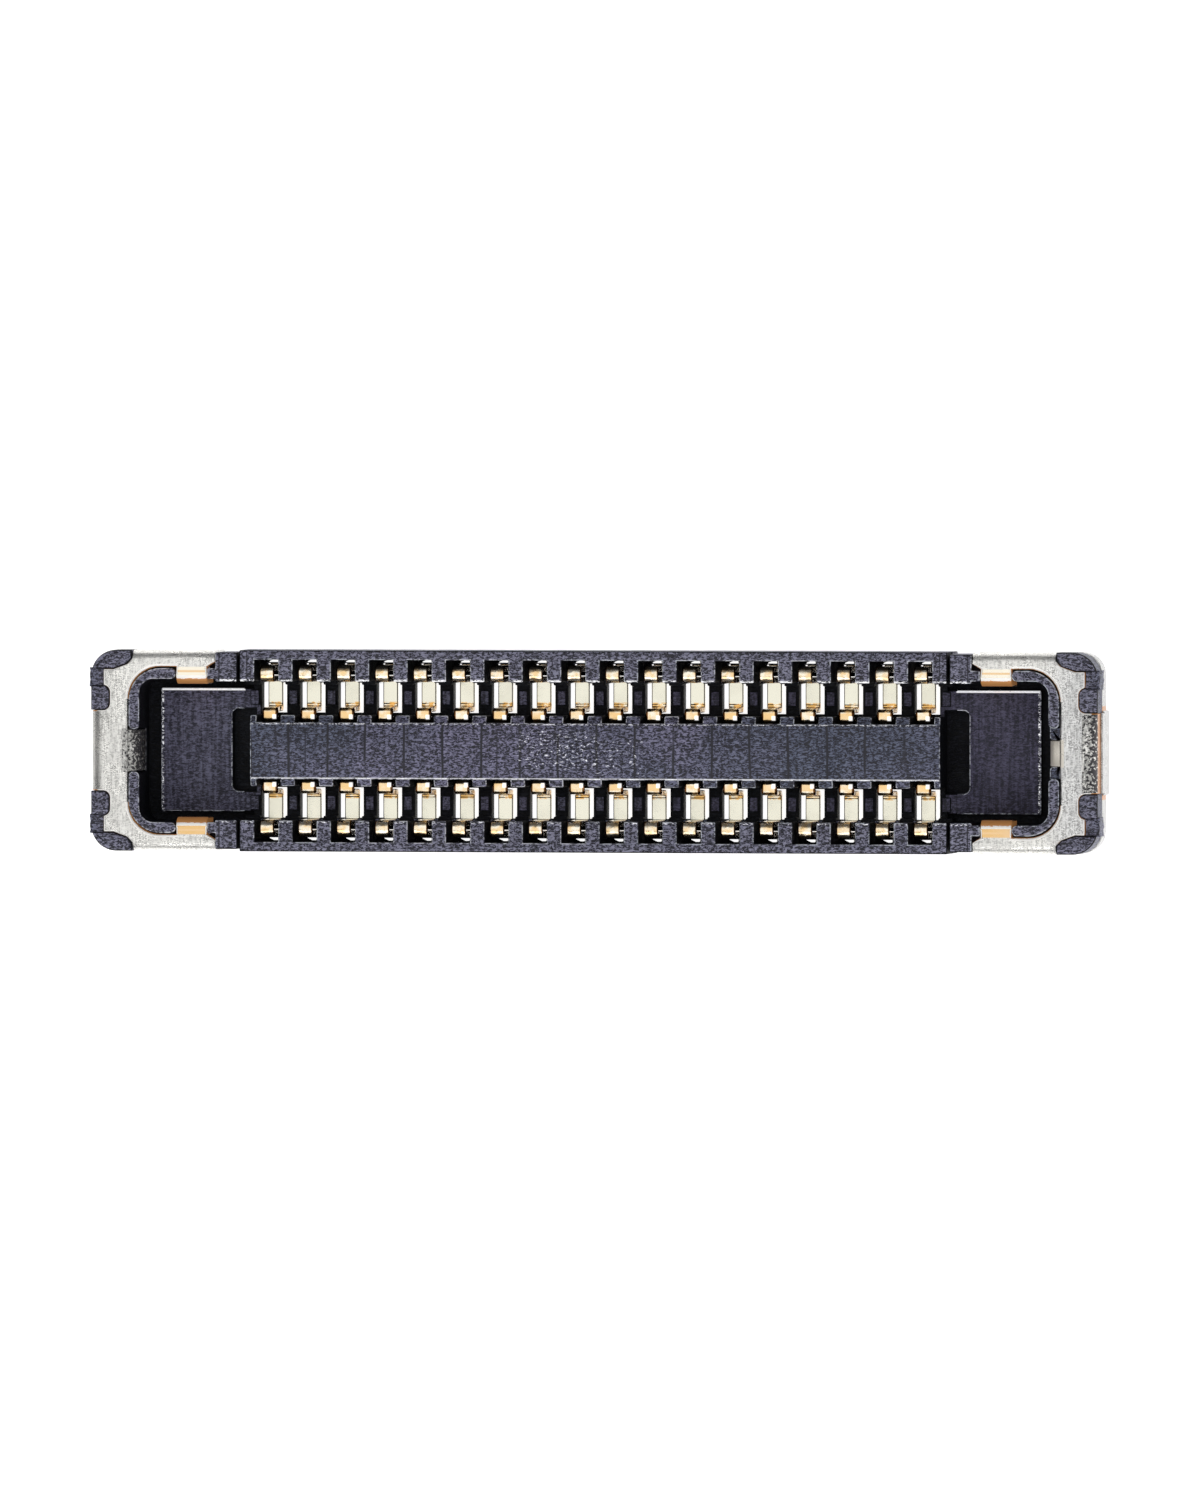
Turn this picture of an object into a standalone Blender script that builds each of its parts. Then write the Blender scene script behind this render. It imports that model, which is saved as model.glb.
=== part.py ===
"""Fine-pitch receptacle connector for a flexible circuit, mating side up.

One moulded housing holds two rows of stamped spring contacts and, at each end,
a formed metal hold-down that is soldered to the board. Units are metres. The
origin is the middle of the solder plane, +X runs along the contact rows, +Y
across them and +Z up, so the rear row lies at +Y and the front row at -Y.
"""

import math

import bmesh
import bpy
from mathutils import Matrix

# Contact rows
PITCH = 0.35e-3
CONTACTS_PER_ROW = 18
ROWS = (("rear", 1), ("front", -1))

# Overall section
WIDTH = 1.81e-3
HEIGHT = 0.60e-3
STANDOFF = 0.03e-3
FIT_GAP = 0.005e-3

# Channel, its long walls and the floor between them
WALL_THICKNESS = 0.28e-3
FLOOR_TOP = 0.18e-3
WINDOW_WIDTH = 0.23e-3
WINDOW_SETBACK = 0.016e-3

# Pockets in the long walls
POCKET_WIDTH = 0.22e-3
POCKET_SKIN = 0.085e-3
POCKET_FLOOR = 0.12e-3

# Centre island
ISLAND_WIDTH = 0.64e-3
ISLAND_TOP_WIDTH = 0.494e-3
ISLAND_DROP = 0.10e-3
ISLAND_CHAMFER_DROP = 0.06e-3
ISLAND_END_MARGIN = 0.165e-3
ISLAND_NOTCH_WIDTH = 0.22e-3
ISLAND_NOTCH_DEPTH = 0.065e-3
ISLAND_NOTCH_SINK = 0.02e-3

# Lengths of the end features, from the island outwards
KEY_SLOT_LENGTH = 0.218e-3
KEY_SLOT_WIDTH = 0.746e-3
KEY_SLOT_FLOOR = 0.07e-3
KEY_SLOT_RADIUS = 0.055e-3
PLATFORM_LENGTH = 0.652e-3
MOAT_WIDTH = 0.127e-3
MOAT_SIDE_WIDTH = 0.09e-3
MOAT_FLOOR = 0.09e-3
MOAT_RADIUS = 0.13e-3
RIM_THICKNESS = 0.096e-3
RIM_GROOVE = 0.043e-3
RIM_SIDE_GROOVE = 0.013e-3
RIM_RADIUS = 0.29e-3
RIM_STUB_DROP = 0.09e-3
RIM_STUB_LENGTH = 0.11e-3
PLATE_END_WIDTH = 0.304e-3
PLATE_ARM_WIDTH = 0.151e-3

# End blocks that close the long walls
END_GROOVE_OFFSET = 0.245e-3
END_GROOVE_WIDTH = 0.02e-3
END_GROOVE_DEPTH = 0.25e-3
END_BLOCK_LENGTH = 0.20e-3
END_BLOCK_RECESS = 0.02e-3
END_FOOT_LENGTH = 0.08e-3

# Metal hold-downs
PLATE_THICKNESS = 0.08e-3
PLATE_DROP = 0.012e-3
SKIRT_RADIUS = 0.20e-3
SHOULDER_RADIUS = 0.075e-3
SKIRT_RELIEF = 0.06e-3
SIDE_FOOT_LENGTH = 0.50e-3
END_FOOT_LAP = 0.015e-3
END_FOOT_BULGE = 0.02e-3
END_FOOT_HEIGHT = 0.40e-3
TAB_LENGTH = 0.28e-3
TAB_BOTTOM = 0.25e-3
BEND_RADIUS = 0.06e-3
LEFT_TONGUE_WIDTH = 0.37e-3
RIGHT_TONGUE_WIDTH = 0.23e-3
ARM_TIP_SLANT = 0.05e-3

# Plastic that shows through the metal at each corner
CORNER_LENGTH = 0.374e-3
CORNER_WIDTH = 0.17e-3
CORNER_RADIUS = 0.23e-3
CORNER_BOTTOM = 0.30e-3
CORNER_SLOPE_START = 0.206e-3
CORNER_SLOPE_BEND = (0.329e-3, 0.0425e-3)
CORNER_SLOPE_RISE = 0.0935e-3
GATE_LENGTH = 0.127e-3
GATE_WIDTH = 0.156e-3
GATE_DROP = 0.05e-3
GATE_OVERHANG = 0.02e-3
LUG_LENGTH = 0.17e-3
LUG_WIDTH = 0.214e-3
LUG_RADIUS = 0.06e-3
FEATURE_LAP = 0.006e-3

# Stamped contacts
STRIP_THICKNESS = 0.05e-3
TAIL_SETBACK = 0.012e-3
TAIL_WIDTH = 0.12e-3
LEG_SETBACK = 0.16e-3
LEG_SPACING = 0.10e-3
LEG_WIDTH = 0.126e-3
LEG_TOP_DROP = 0.03e-3
BASE_WIDTH = 0.134e-3
BASE_TOP = 0.11e-3
ARM_WIDTH = 0.10e-3
ARM_ROOT_GAP = 0.055e-3
ARM_TOP_OVERLAP = 0.033e-3
TIP_WIDTH = 0.13e-3
TIP_DEPTH = 0.066e-3
TIP_DROP = 0.185e-3
TIP_LENGTH = 0.075e-3
LEG_FOLD = 0.049e-3
TIP_FOLD = 0.029e-3
CONTACT_BEND = 0.045e-3
TAIL_BEND = 0.03e-3

# Smoothness of round stretches
CORNER_STEPS = 8
SMALL_STEPS = 3
CONTACT_STEPS = (1, 2, 2, 1, 1, 2, 1)
CONTACT_SMOOTH_ANGLE = 50
SHEET_SMOOTH_ANGLE = 35
ARM_ROOT_CORNER = 5
SHARPEST_SPREAD = 0.5
SHOULDER_STEPS = 3
CUT_MARGIN = 0.10e-3

# Places worked out from the sizes above
HALF_WIDTH = WIDTH / 2
HALF_ROW = PITCH * (CONTACTS_PER_ROW - 1) / 2
WALL_FACE = HALF_WIDTH - WALL_THICKNESS
POCKET_BACK = HALF_WIDTH - POCKET_SKIN
ISLAND_SIDE = ISLAND_WIDTH / 2
WINDOW_NEAR = ISLAND_SIDE + WINDOW_SETBACK
WINDOW_FAR = WALL_FACE - WINDOW_SETBACK
ISLAND_TOP = HEIGHT - ISLAND_DROP
ISLAND_END = HALF_ROW + ISLAND_END_MARGIN
PLATFORM_START = ISLAND_END + KEY_SLOT_LENGTH
PLATFORM_END = PLATFORM_START + PLATFORM_LENGTH
CAVITY_END = PLATFORM_END + MOAT_WIDTH
RIM_END = CAVITY_END + RIM_THICKNESS
OPENING_END = RIM_END + RIM_GROOVE
OPENING_SIDE = HALF_WIDTH - PLATE_ARM_WIDTH
RIM_SIDE = OPENING_SIDE - RIM_SIDE_GROOVE
CAVITY_SIDE = RIM_SIDE - RIM_THICKNESS
PLATFORM_SIDE = CAVITY_SIDE - MOAT_SIDE_WIDTH
METAL_END = OPENING_END + PLATE_END_WIDTH
GROOVE_X = HALF_ROW + END_GROOVE_OFFSET
WALL_END = GROOVE_X + END_GROOVE_WIDTH + END_BLOCK_LENGTH
TAB_START = WALL_END + END_FOOT_LENGTH
TAB_END = TAB_START + TAB_LENGTH
PLATE_TOP = HEIGHT - PLATE_DROP
PLATE_UNDER = PLATE_TOP - PLATE_THICKNESS
BLOCK_END = METAL_END - PLATE_THICKNESS - FIT_GAP
BLOCK_SIDE = HALF_WIDTH - PLATE_THICKNESS - FIT_GAP
BLOCK_RADIUS = SKIRT_RADIUS - PLATE_THICKNESS - FIT_GAP
GATE_FAR = HALF_WIDTH - CORNER_WIDTH
LUG_FAR = GATE_FAR - GATE_WIDTH
END_FOOT_SIDE = LUG_FAR - LUG_WIDTH + END_FOOT_LAP


def clear_scene():
    """Remove every object that the file opened with."""
    for item in list(bpy.data.objects):
        bpy.data.objects.remove(item, do_unlink=True)


def make_material(name, colour, roughness, metallic):
    """Return a plain Principled material."""
    material = bpy.data.materials.new(name)
    material.use_nodes = True
    shader = material.node_tree.nodes["Principled BSDF"]
    shader.inputs["Base Color"].default_value = (*colour, 1.0)
    shader.inputs["Roughness"].default_value = roughness
    shader.inputs["Metallic"].default_value = metallic
    return material


def store(bm, name):
    """Turn a bmesh into an object with its faces pointing out."""
    bmesh.ops.recalc_face_normals(bm, faces=bm.faces)
    mesh = bpy.data.meshes.new(name)
    bm.to_mesh(mesh)
    bm.free()
    item = bpy.data.objects.new(name, mesh)
    bpy.context.scene.collection.objects.link(item)
    return item


def combine(item, tool, operation):
    """Join a tool to an item, or cut it away, and keep the tool as a guide."""
    tool.hide_render = True
    tool.display_type = "WIRE"
    modifier = item.modifiers.new(tool.name, "BOOLEAN")
    modifier.operation = operation
    modifier.solver = "EXACT"
    modifier.object = tool


def add_box(bm, x_span, y_span, z_span):
    """Add a box between pairs of limits, given in any order."""
    spans = (x_span, y_span, z_span)
    middle = [sum(span) / 2 for span in spans]
    size = [abs(span[1] - span[0]) for span in spans]
    place = Matrix.Translation(middle) @ Matrix.Diagonal((*size, 1.0))
    bmesh.ops.create_cube(bm, size=1.0, matrix=place)


def add_prism(bm, outline, low, high, along_x=False):
    """Extrude an outline in XY upwards, or one in YZ along X."""
    if along_x:
        corners = [(low, y, z) for y, z in outline]
        step = (high - low, 0, 0)
    else:
        corners = [(x, y, low) for x, y in outline]
        step = (0, 0, high - low)
    face = bm.faces.new([bm.verts.new(corner) for corner in corners])
    swept = bmesh.ops.extrude_face_region(bm, geom=[face])["geom"]
    moved = [part for part in swept if isinstance(part, bmesh.types.BMVert)]
    bmesh.ops.translate(bm, verts=moved, vec=step)
    return moved


def quarter(centre, radius, start, steps):
    """Return the points of a quarter turn from a start angle in degrees."""
    points = []
    for step in range(steps + 1):
        angle = math.radians(start + 90 * step / steps)
        points.append((centre[0] + radius * math.cos(angle), centre[1] + radius * math.sin(angle)))
    return points


def mirrored(outline, side_x, side_y=1):
    """Reflect an outline that is drawn in the +X, +Y quarter."""
    return [(side_x * x, side_y * y) for x, y in outline]


def end_outline(near, far, half_width, radius, steps):
    """Return a block across the part whose two far corners are round."""
    inset = half_width - radius
    points = [(near, -half_width)]
    points += quarter((far - radius, -inset), radius, -90, steps)
    points += quarter((far - radius, inset), radius, 0, steps)
    points.append((near, half_width))
    return points


def contact_places():
    """Yield the X of each contact and the sign of its row."""
    for _, row in ROWS:
        for index in range(CONTACTS_PER_ROW):
            yield index * PITCH - HALF_ROW, row


def both_ends():
    """Yield the sign of the left end and of the right end."""
    yield -1
    yield 1


def all_corners():
    """Yield the signs of the four corners."""
    for side_x in both_ends():
        for side_y in both_ends():
            yield side_x, side_y


def corner_outline(grow=0.0):
    """Return the plastic corner that shows at the end of the metal."""
    near = METAL_END - CORNER_LENGTH - grow
    inner = HALF_WIDTH - CORNER_WIDTH - grow
    centre = (METAL_END - CORNER_RADIUS, HALF_WIDTH - CORNER_RADIUS)
    if grow:
        arc = [(METAL_END + CUT_MARGIN, HALF_WIDTH + CUT_MARGIN)]
        arc.append((METAL_END + CUT_MARGIN, inner))
        start = [(near, HALF_WIDTH + CUT_MARGIN)]
    else:
        points = quarter(centre, CORNER_RADIUS, 0, CORNER_STEPS)
        arc = [point for point in reversed(points) if point[1] > inner]
        arc.append((METAL_END - FEATURE_LAP, inner))
        start = [(near, HALF_WIDTH)]
    bend_x, bend_rise = CORNER_SLOPE_BEND
    slope = [
        (METAL_END - CORNER_SLOPE_START, inner),
        (METAL_END - bend_x, inner + bend_rise),
        (near, inner + CORNER_SLOPE_RISE),
    ]
    return start + arc + slope


def lug_outline(grow=0.0):
    """Return the round-ended plastic lug beside the cut gate."""
    near = METAL_END - LUG_LENGTH - grow
    far = METAL_END + (CUT_MARGIN if grow else 0.0)
    low = LUG_FAR - LUG_WIDTH - grow
    high = LUG_FAR + FEATURE_LAP + grow
    radius = LUG_RADIUS + grow
    points = [(far, low)]
    points += reversed(quarter((near + radius, low + radius), radius, 180, SMALL_STEPS))
    points += reversed(quarter((near + radius, high - radius), radius, 90, SMALL_STEPS))
    points.append((far, high))
    return points


def add_gates(bm, grow=0.0):
    """Add the cut gates between the lugs and the corners."""
    near = METAL_END + GATE_OVERHANG - GATE_LENGTH - grow
    far = METAL_END + GATE_OVERHANG + (CUT_MARGIN if grow else 0.0)
    top = HEIGHT + CUT_MARGIN if grow else HEIGHT - GATE_DROP
    y_span = (LUG_FAR - FEATURE_LAP, GATE_FAR + FEATURE_LAP)
    for side_x, side_y in all_corners():
        x_limits = (side_x * near, side_x * far)
        y_limits = (side_y * y_span[0], side_y * y_span[1])
        add_box(bm, x_limits, y_limits, (CORNER_BOTTOM - grow, top))


def add_corner_features(bm, outline, grow=0.0):
    """Add one outline at all four corners of the part."""
    top = HEIGHT + CUT_MARGIN if grow else HEIGHT
    for side_x, side_y in all_corners():
        add_prism(bm, mirrored(outline, side_x, side_y), CORNER_BOTTOM - grow, top)


def corner_tools(prefix, grow=0.0):
    """Return the corners, lugs and gates as three separate tools."""
    corners = bmesh.new()
    add_corner_features(corners, corner_outline(grow), grow)
    lugs = bmesh.new()
    add_corner_features(lugs, lug_outline(grow), grow)
    gates = bmesh.new()
    add_gates(gates, grow)
    shapes = ((corners, "_corners"), (lugs, "_lugs"), (gates, "_gates"))
    return [store(shape, prefix + suffix) for shape, suffix in shapes]


def housing_blank():
    """Return the solid bar between the outer faces of the end blocks."""
    bm = bmesh.new()
    add_box(bm, (-WALL_END, WALL_END), (-HALF_WIDTH, HALF_WIDTH), (STANDOFF, HEIGHT))
    return store(bm, "housing")


def end_bodies():
    """Return the plastic under the two metal hold-downs."""
    bm = bmesh.new()
    outline = end_outline(TAB_START - END_BLOCK_LENGTH, BLOCK_END, BLOCK_SIDE, BLOCK_RADIUS, CORNER_STEPS)
    for side in both_ends():
        add_prism(bm, mirrored(outline, side), STANDOFF, PLATE_UNDER - FIT_GAP)
    return store(bm, "end_bodies")


def end_rims():
    """Return the blanks of the raised rims round the two end cavities."""
    bm = bmesh.new()
    outline = end_outline(TAB_START - END_BLOCK_LENGTH, RIM_END, RIM_SIDE, RIM_RADIUS, CORNER_STEPS)
    for side in both_ends():
        add_prism(bm, mirrored(outline, side), MOAT_FLOOR, HEIGHT)
    return store(bm, "end_rims")


def channel_cut():
    """Return the space between the long walls."""
    bm = bmesh.new()
    reach = WALL_END + FEATURE_LAP
    add_box(bm, (-reach, reach), (-WALL_FACE, WALL_FACE), (FLOOR_TOP, HEIGHT + CUT_MARGIN))
    return store(bm, "channel_cut")


def cavity_cuts():
    """Return the open space above each end platform."""
    bm = bmesh.new()
    outline = end_outline(WALL_END, CAVITY_END, CAVITY_SIDE, MOAT_RADIUS, CORNER_STEPS)
    for side in both_ends():
        add_prism(bm, mirrored(outline, side), FLOOR_TOP, HEIGHT + CUT_MARGIN)
    return store(bm, "cavity_cuts")


def moat_cuts():
    """Return the deeper channel that runs round each platform."""
    bm = bmesh.new()
    half = PLATFORM_SIDE
    outer = end_outline(WALL_END, CAVITY_END, CAVITY_SIDE, MOAT_RADIUS, CORNER_STEPS)
    inner = [(WALL_END, half), (PLATFORM_END, half), (PLATFORM_END, -half), (WALL_END, -half)]
    for side in both_ends():
        add_prism(bm, mirrored(outer + inner, side), MOAT_FLOOR, FLOOR_TOP + FIT_GAP)
    return store(bm, "moat_cuts")


def key_slot_cuts():
    """Return the deep blind slot between the island and each platform."""
    bm = bmesh.new()
    outline = end_outline(ISLAND_END, PLATFORM_START, KEY_SLOT_WIDTH / 2, KEY_SLOT_RADIUS, SMALL_STEPS)
    for side in both_ends():
        add_prism(bm, mirrored(outline, side), KEY_SLOT_FLOOR, HEIGHT + CUT_MARGIN)
    return store(bm, "key_slot_cuts")


def island():
    """Return the centre island with its two chamfered flanks."""
    bm = bmesh.new()
    shoulder = ISLAND_TOP - ISLAND_CHAMFER_DROP
    right = [(ISLAND_SIDE, MOAT_FLOOR), (ISLAND_SIDE, shoulder), (ISLAND_TOP_WIDTH / 2, ISLAND_TOP)]
    left = [(-y, z) for y, z in reversed(right)]
    add_prism(bm, right + left, -ISLAND_END, ISLAND_END, along_x=True)
    return store(bm, "island")


def window_cuts():
    """Return the windows through the floor, one under each contact."""
    bm = bmesh.new()
    half = WINDOW_WIDTH / 2
    for x, row in contact_places():
        y_span = (row * WINDOW_NEAR, row * WINDOW_FAR)
        add_box(bm, (x - half, x + half), y_span, (0, FLOOR_TOP + CUT_MARGIN))
    return store(bm, "window_cuts")


def island_notch_cuts():
    """Return the notches in the island that the spring tips move in."""
    bm = bmesh.new()
    half = ISLAND_NOTCH_WIDTH / 2
    for x, row in contact_places():
        y_span = (row * (ISLAND_SIDE - ISLAND_NOTCH_DEPTH), row * (WINDOW_NEAR + FIT_GAP))
        add_box(bm, (x - half, x + half), y_span, (FLOOR_TOP - ISLAND_NOTCH_SINK, HEIGHT))
    return store(bm, "island_notch_cuts")


def pocket_cuts():
    """Return the pockets in the long walls, open at the top."""
    bm = bmesh.new()
    half = POCKET_WIDTH / 2
    for x, row in contact_places():
        y_span = (row * (WINDOW_FAR - FIT_GAP), row * POCKET_BACK)
        add_box(bm, (x - half, x + half), y_span, (POCKET_FLOOR, HEIGHT + CUT_MARGIN))
    return store(bm, "pocket_cuts")


def tail_slot_cuts():
    """Return the slots that each contact's two legs and solder tail sit in."""
    bm = bmesh.new()
    half = BASE_WIDTH / 2 + FIT_GAP
    leg = HALF_WIDTH - LEG_SETBACK
    reach = STRIP_THICKNESS / 2 + 2 * FIT_GAP
    ceiling = STRIP_THICKNESS + 2 * FIT_GAP
    top = POCKET_FLOOR + FIT_GAP
    start = WINDOW_FAR - FIT_GAP
    outline = [(start, 0), (HALF_WIDTH + FIT_GAP, 0), (HALF_WIDTH + FIT_GAP, ceiling)]
    outline += [(leg + reach, ceiling), (leg + reach, top), (start, top)]
    for x, row in contact_places():
        profile = [(row * y, z) for y, z in outline]
        add_prism(bm, profile, x - half, x + half, along_x=True)
    return store(bm, "tail_slot_cuts")


def wall_end_grooves():
    """Return the grooves that part the long walls from their end blocks."""
    bm = bmesh.new()
    for side_x, side_y in all_corners():
        x_span = (side_x * GROOVE_X, side_x * (GROOVE_X + END_GROOVE_WIDTH))
        y_span = (side_y * (WALL_FACE - FIT_GAP), side_y * (HALF_WIDTH + CUT_MARGIN))
        add_box(bm, x_span, y_span, (HEIGHT - END_GROOVE_DEPTH, HEIGHT + CUT_MARGIN))
    return store(bm, "wall_end_grooves")


def wall_end_recesses():
    """Return the shallow recess in the outer face of each end block."""
    bm = bmesh.new()
    for side_x, side_y in all_corners():
        x_span = (side_x * (GROOVE_X + END_GROOVE_WIDTH / 2), side_x * (WALL_END + FIT_GAP))
        y_span = (side_y * (HALF_WIDTH - END_BLOCK_RECESS), side_y * (HALF_WIDTH + CUT_MARGIN))
        add_box(bm, x_span, y_span, (0, HEIGHT + 2 * CUT_MARGIN))
    return store(bm, "wall_end_recesses")


def tab_pocket_cuts():
    """Return the openings in the rims where the metal tabs curl over."""
    bm = bmesh.new()
    back = CAVITY_SIDE + PLATE_THICKNESS / 2 + BEND_RADIUS + FIT_GAP
    for side_x, side_y in all_corners():
        x_span = (side_x * (TAB_START - FIT_GAP), side_x * (TAB_END + FIT_GAP))
        y_span = (side_y * (CAVITY_SIDE - FIT_GAP), side_y * max(back, RIM_SIDE + FIT_GAP))
        add_box(bm, x_span, y_span, (TAB_BOTTOM - FIT_GAP, HEIGHT + CUT_MARGIN))
    return store(bm, "tab_pocket_cuts")


def tongue_width(side):
    """Return the width of the centre tongue at one end."""
    if side < 0:
        return LEFT_TONGUE_WIDTH
    return RIGHT_TONGUE_WIDTH


def tongue_pocket_cuts():
    """Return the opening in each end rim where the centre tongue bends down."""
    bm = bmesh.new()
    back = CAVITY_END + PLATE_THICKNESS / 2 + BEND_RADIUS + FIT_GAP
    for side in both_ends():
        half = tongue_width(side) / 2 + FIT_GAP
        x_span = (side * (CAVITY_END - FIT_GAP), side * max(back, RIM_END + FIT_GAP))
        add_box(bm, x_span, (-half, half), (TAB_BOTTOM - FIT_GAP, HEIGHT + CUT_MARGIN))
    return store(bm, "tongue_pocket_cuts")


def rim_stub_cuts():
    """Return the cut that lowers the rim stubs beside the right tongue."""
    bm = bmesh.new()
    half = RIGHT_TONGUE_WIDTH / 2 + RIM_STUB_LENGTH
    x_span = (CAVITY_END - FIT_GAP, RIM_END + FIT_GAP)
    add_box(bm, x_span, (-half, half), (HEIGHT - RIM_STUB_DROP, HEIGHT + 2 * CUT_MARGIN))
    return store(bm, "rim_stub_cuts")


def build_housing(material):
    """Mould the housing: first all that adds plastic, then all that cuts it."""
    housing = housing_blank()
    added = [end_bodies(), end_rims()] + corner_tools("plastic")
    for tool in added:
        combine(housing, tool, "UNION")
    for tool in (channel_cut(), cavity_cuts()):
        combine(housing, tool, "DIFFERENCE")
    combine(housing, island(), "UNION")
    cuts = [moat_cuts(), key_slot_cuts(), window_cuts(), island_notch_cuts(), pocket_cuts()]
    cuts += [tail_slot_cuts(), wall_end_grooves(), wall_end_recesses()]
    cuts += [tab_pocket_cuts(), tongue_pocket_cuts(), rim_stub_cuts()]
    for tool in cuts:
        combine(housing, tool, "DIFFERENCE")
    housing.data.materials.append(material)
    return housing


def bend_path(corners, radii, steps):
    """Round the inner corners of a path and return its points.

    Each point is (u, v, corner index), so that a width can follow the path.
    """
    points = [(*corners[0], 0)]
    for index in range(1, len(corners) - 1):
        arc = bend(corners[index - 1:index + 2], radii[index - 1], steps[index - 1])
        points += [(*point, index) for point in arc]
    points.append((*corners[-1], len(corners) - 1))
    return points


def bend(corners, radius, steps):
    """Return the points of the arc that rounds the middle one of three corners."""
    before, here, after = corners
    into = unit(here, before)
    out = unit(here, after)
    half_angle = math.acos(into[0] * out[0] + into[1] * out[1]) / 2
    reach = radius / math.tan(half_angle)
    to_centre = radius / math.sin(half_angle)
    middle = unit((0, 0), (into[0] + out[0], into[1] + out[1]))
    centre = (here[0] + middle[0] * to_centre, here[1] + middle[1] * to_centre)
    start = (here[0] + into[0] * reach, here[1] + into[1] * reach)
    first = math.atan2(start[1] - centre[1], start[0] - centre[0])
    turn = math.pi - 2 * half_angle
    side = into[0] * out[1] - into[1] * out[0]
    sweep = turn if side < 0 else -turn
    arc = []
    for step in range(steps + 1):
        angle = first + sweep * step / steps
        arc.append((centre[0] + radius * math.cos(angle), centre[1] + radius * math.sin(angle)))
    return arc


def unit(start, end):
    """Return the direction from one point to another."""
    length = math.dist(start, end)
    return (end[0] - start[0]) / length, (end[1] - start[1]) / length


def ribbon_sides(path, thickness):
    """Return the two edges of a strip whose middle follows a path."""
    left = []
    right = []
    for index, (u, v, _) in enumerate(path):
        before = path[max(index - 1, 0)]
        after = path[min(index + 1, len(path) - 1)]
        along = unit(before[:2], after[:2])
        if 0 < index < len(path) - 1:
            into = unit(before[:2], (u, v))
            spread = max(into[0] * along[0] + into[1] * along[1], SHARPEST_SPREAD)
        else:
            spread = 1.0
        reach = thickness / 2 / spread
        left.append((u - along[1] * reach, v + along[0] * reach))
        right.append((u + along[1] * reach, v - along[0] * reach))
    return left, right


def add_ribbon(bm, path, thickness, widths, place):
    """Sweep a flat strip along a path; place(u, v, w) gives the 3-D point."""
    left, right = ribbon_sides(path, thickness)
    rings = []
    for (_, _, corner), upper, lower in zip(path, left, right):
        half = widths[corner] / 2
        spots = [(*upper, -half), (*upper, half), (*lower, half), (*lower, -half)]
        rings.append([bm.verts.new(place(*spot)) for spot in spots])
    for near, far in zip(rings, rings[1:]):
        for side in range(4):
            nxt = (side + 1) % 4
            bm.faces.new((near[side], near[nxt], far[nxt], far[side]))
    bm.faces.new(rings[0])
    bm.faces.new(reversed(rings[-1]))


def contact_path():
    """Return the path of a contact in YZ, from its tail to its spring tip."""
    outer_leg = HALF_WIDTH - LEG_SETBACK
    inner_leg = outer_leg - LEG_SPACING
    leg_top = HEIGHT - LEG_TOP_DROP - STRIP_THICKNESS / 2
    tail = STRIP_THICKNESS / 2
    base = BASE_TOP - STRIP_THICKNESS / 2
    arm_root = ISLAND_SIDE + ARM_ROOT_GAP + STRIP_THICKNESS / 2
    arm_top = ISLAND_SIDE + ARM_TOP_OVERLAP
    tip_top = HEIGHT - TIP_DROP - STRIP_THICKNESS / 2
    corners = [
        (HALF_WIDTH - TAIL_SETBACK, tail),
        (outer_leg, tail),
        (outer_leg, leg_top),
        (inner_leg, leg_top),
        (inner_leg, base),
        (arm_root, base),
        (arm_top, tip_top),
        (arm_top - TIP_DEPTH, tip_top),
        (arm_top - TIP_DEPTH, tip_top - TIP_LENGTH),
    ]
    radii = [TAIL_BEND, LEG_FOLD, LEG_FOLD, CONTACT_BEND, CONTACT_BEND, TIP_FOLD, TIP_FOLD]
    return bend_path(corners, radii, CONTACT_STEPS)


def build_contact(name, x, row, material):
    """Form one contact strip at its place in a row."""
    bm = bmesh.new()
    widths = [TAIL_WIDTH, LEG_WIDTH, LEG_WIDTH, LEG_WIDTH, BASE_WIDTH, BASE_WIDTH]
    widths += [TIP_WIDTH, TIP_WIDTH, TIP_WIDTH]
    path = contact_path()
    arm = [index for index, point in enumerate(path) if point[2] == ARM_ROOT_CORNER][-1]
    root = path[arm]
    head = path[arm + 1]
    middle = ((root[0] + head[0]) / 2, (root[1] + head[1]) / 2, len(widths))
    path.insert(arm + 1, middle)
    widths.append(ARM_WIDTH)
    add_ribbon(bm, path, STRIP_THICKNESS, widths, lambda u, v, w: (w, row * u, v))
    contact = store(bm, name)
    contact.location.x = x
    contact.data.shade_smooth()
    contact.data.set_sharp_from_angle(angle=math.radians(CONTACT_SMOOTH_ANGLE))
    contact.data.materials.append(material)
    return contact


def skirt_shell(name, side):
    """Return the formed metal cap of one end, without its openings."""
    near = WALL_END + FIT_GAP
    bm = bmesh.new()
    outer = mirrored(end_outline(near, METAL_END, HALF_WIDTH, SKIRT_RADIUS, CORNER_STEPS), side)
    add_prism(bm, outer, 0, PLATE_TOP)
    shoulder = [edge for edge in bm.edges if on_shoulder(edge, side * near)]
    bmesh.ops.bevel(
        bm,
        geom=shoulder,
        offset=SHOULDER_RADIUS,
        offset_type="OFFSET",
        segments=SHOULDER_STEPS,
        profile=0.5,
        affect="EDGES",
    )
    return store(bm, name)


def on_shoulder(edge, near):
    """Tell whether an edge lies on the top outline, away from the open end."""
    high = all(vert.co.z > PLATE_TOP - FIT_GAP for vert in edge.verts)
    at_open_end = all(abs(vert.co.x - near) < FIT_GAP for vert in edge.verts)
    return high and not at_open_end


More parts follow.
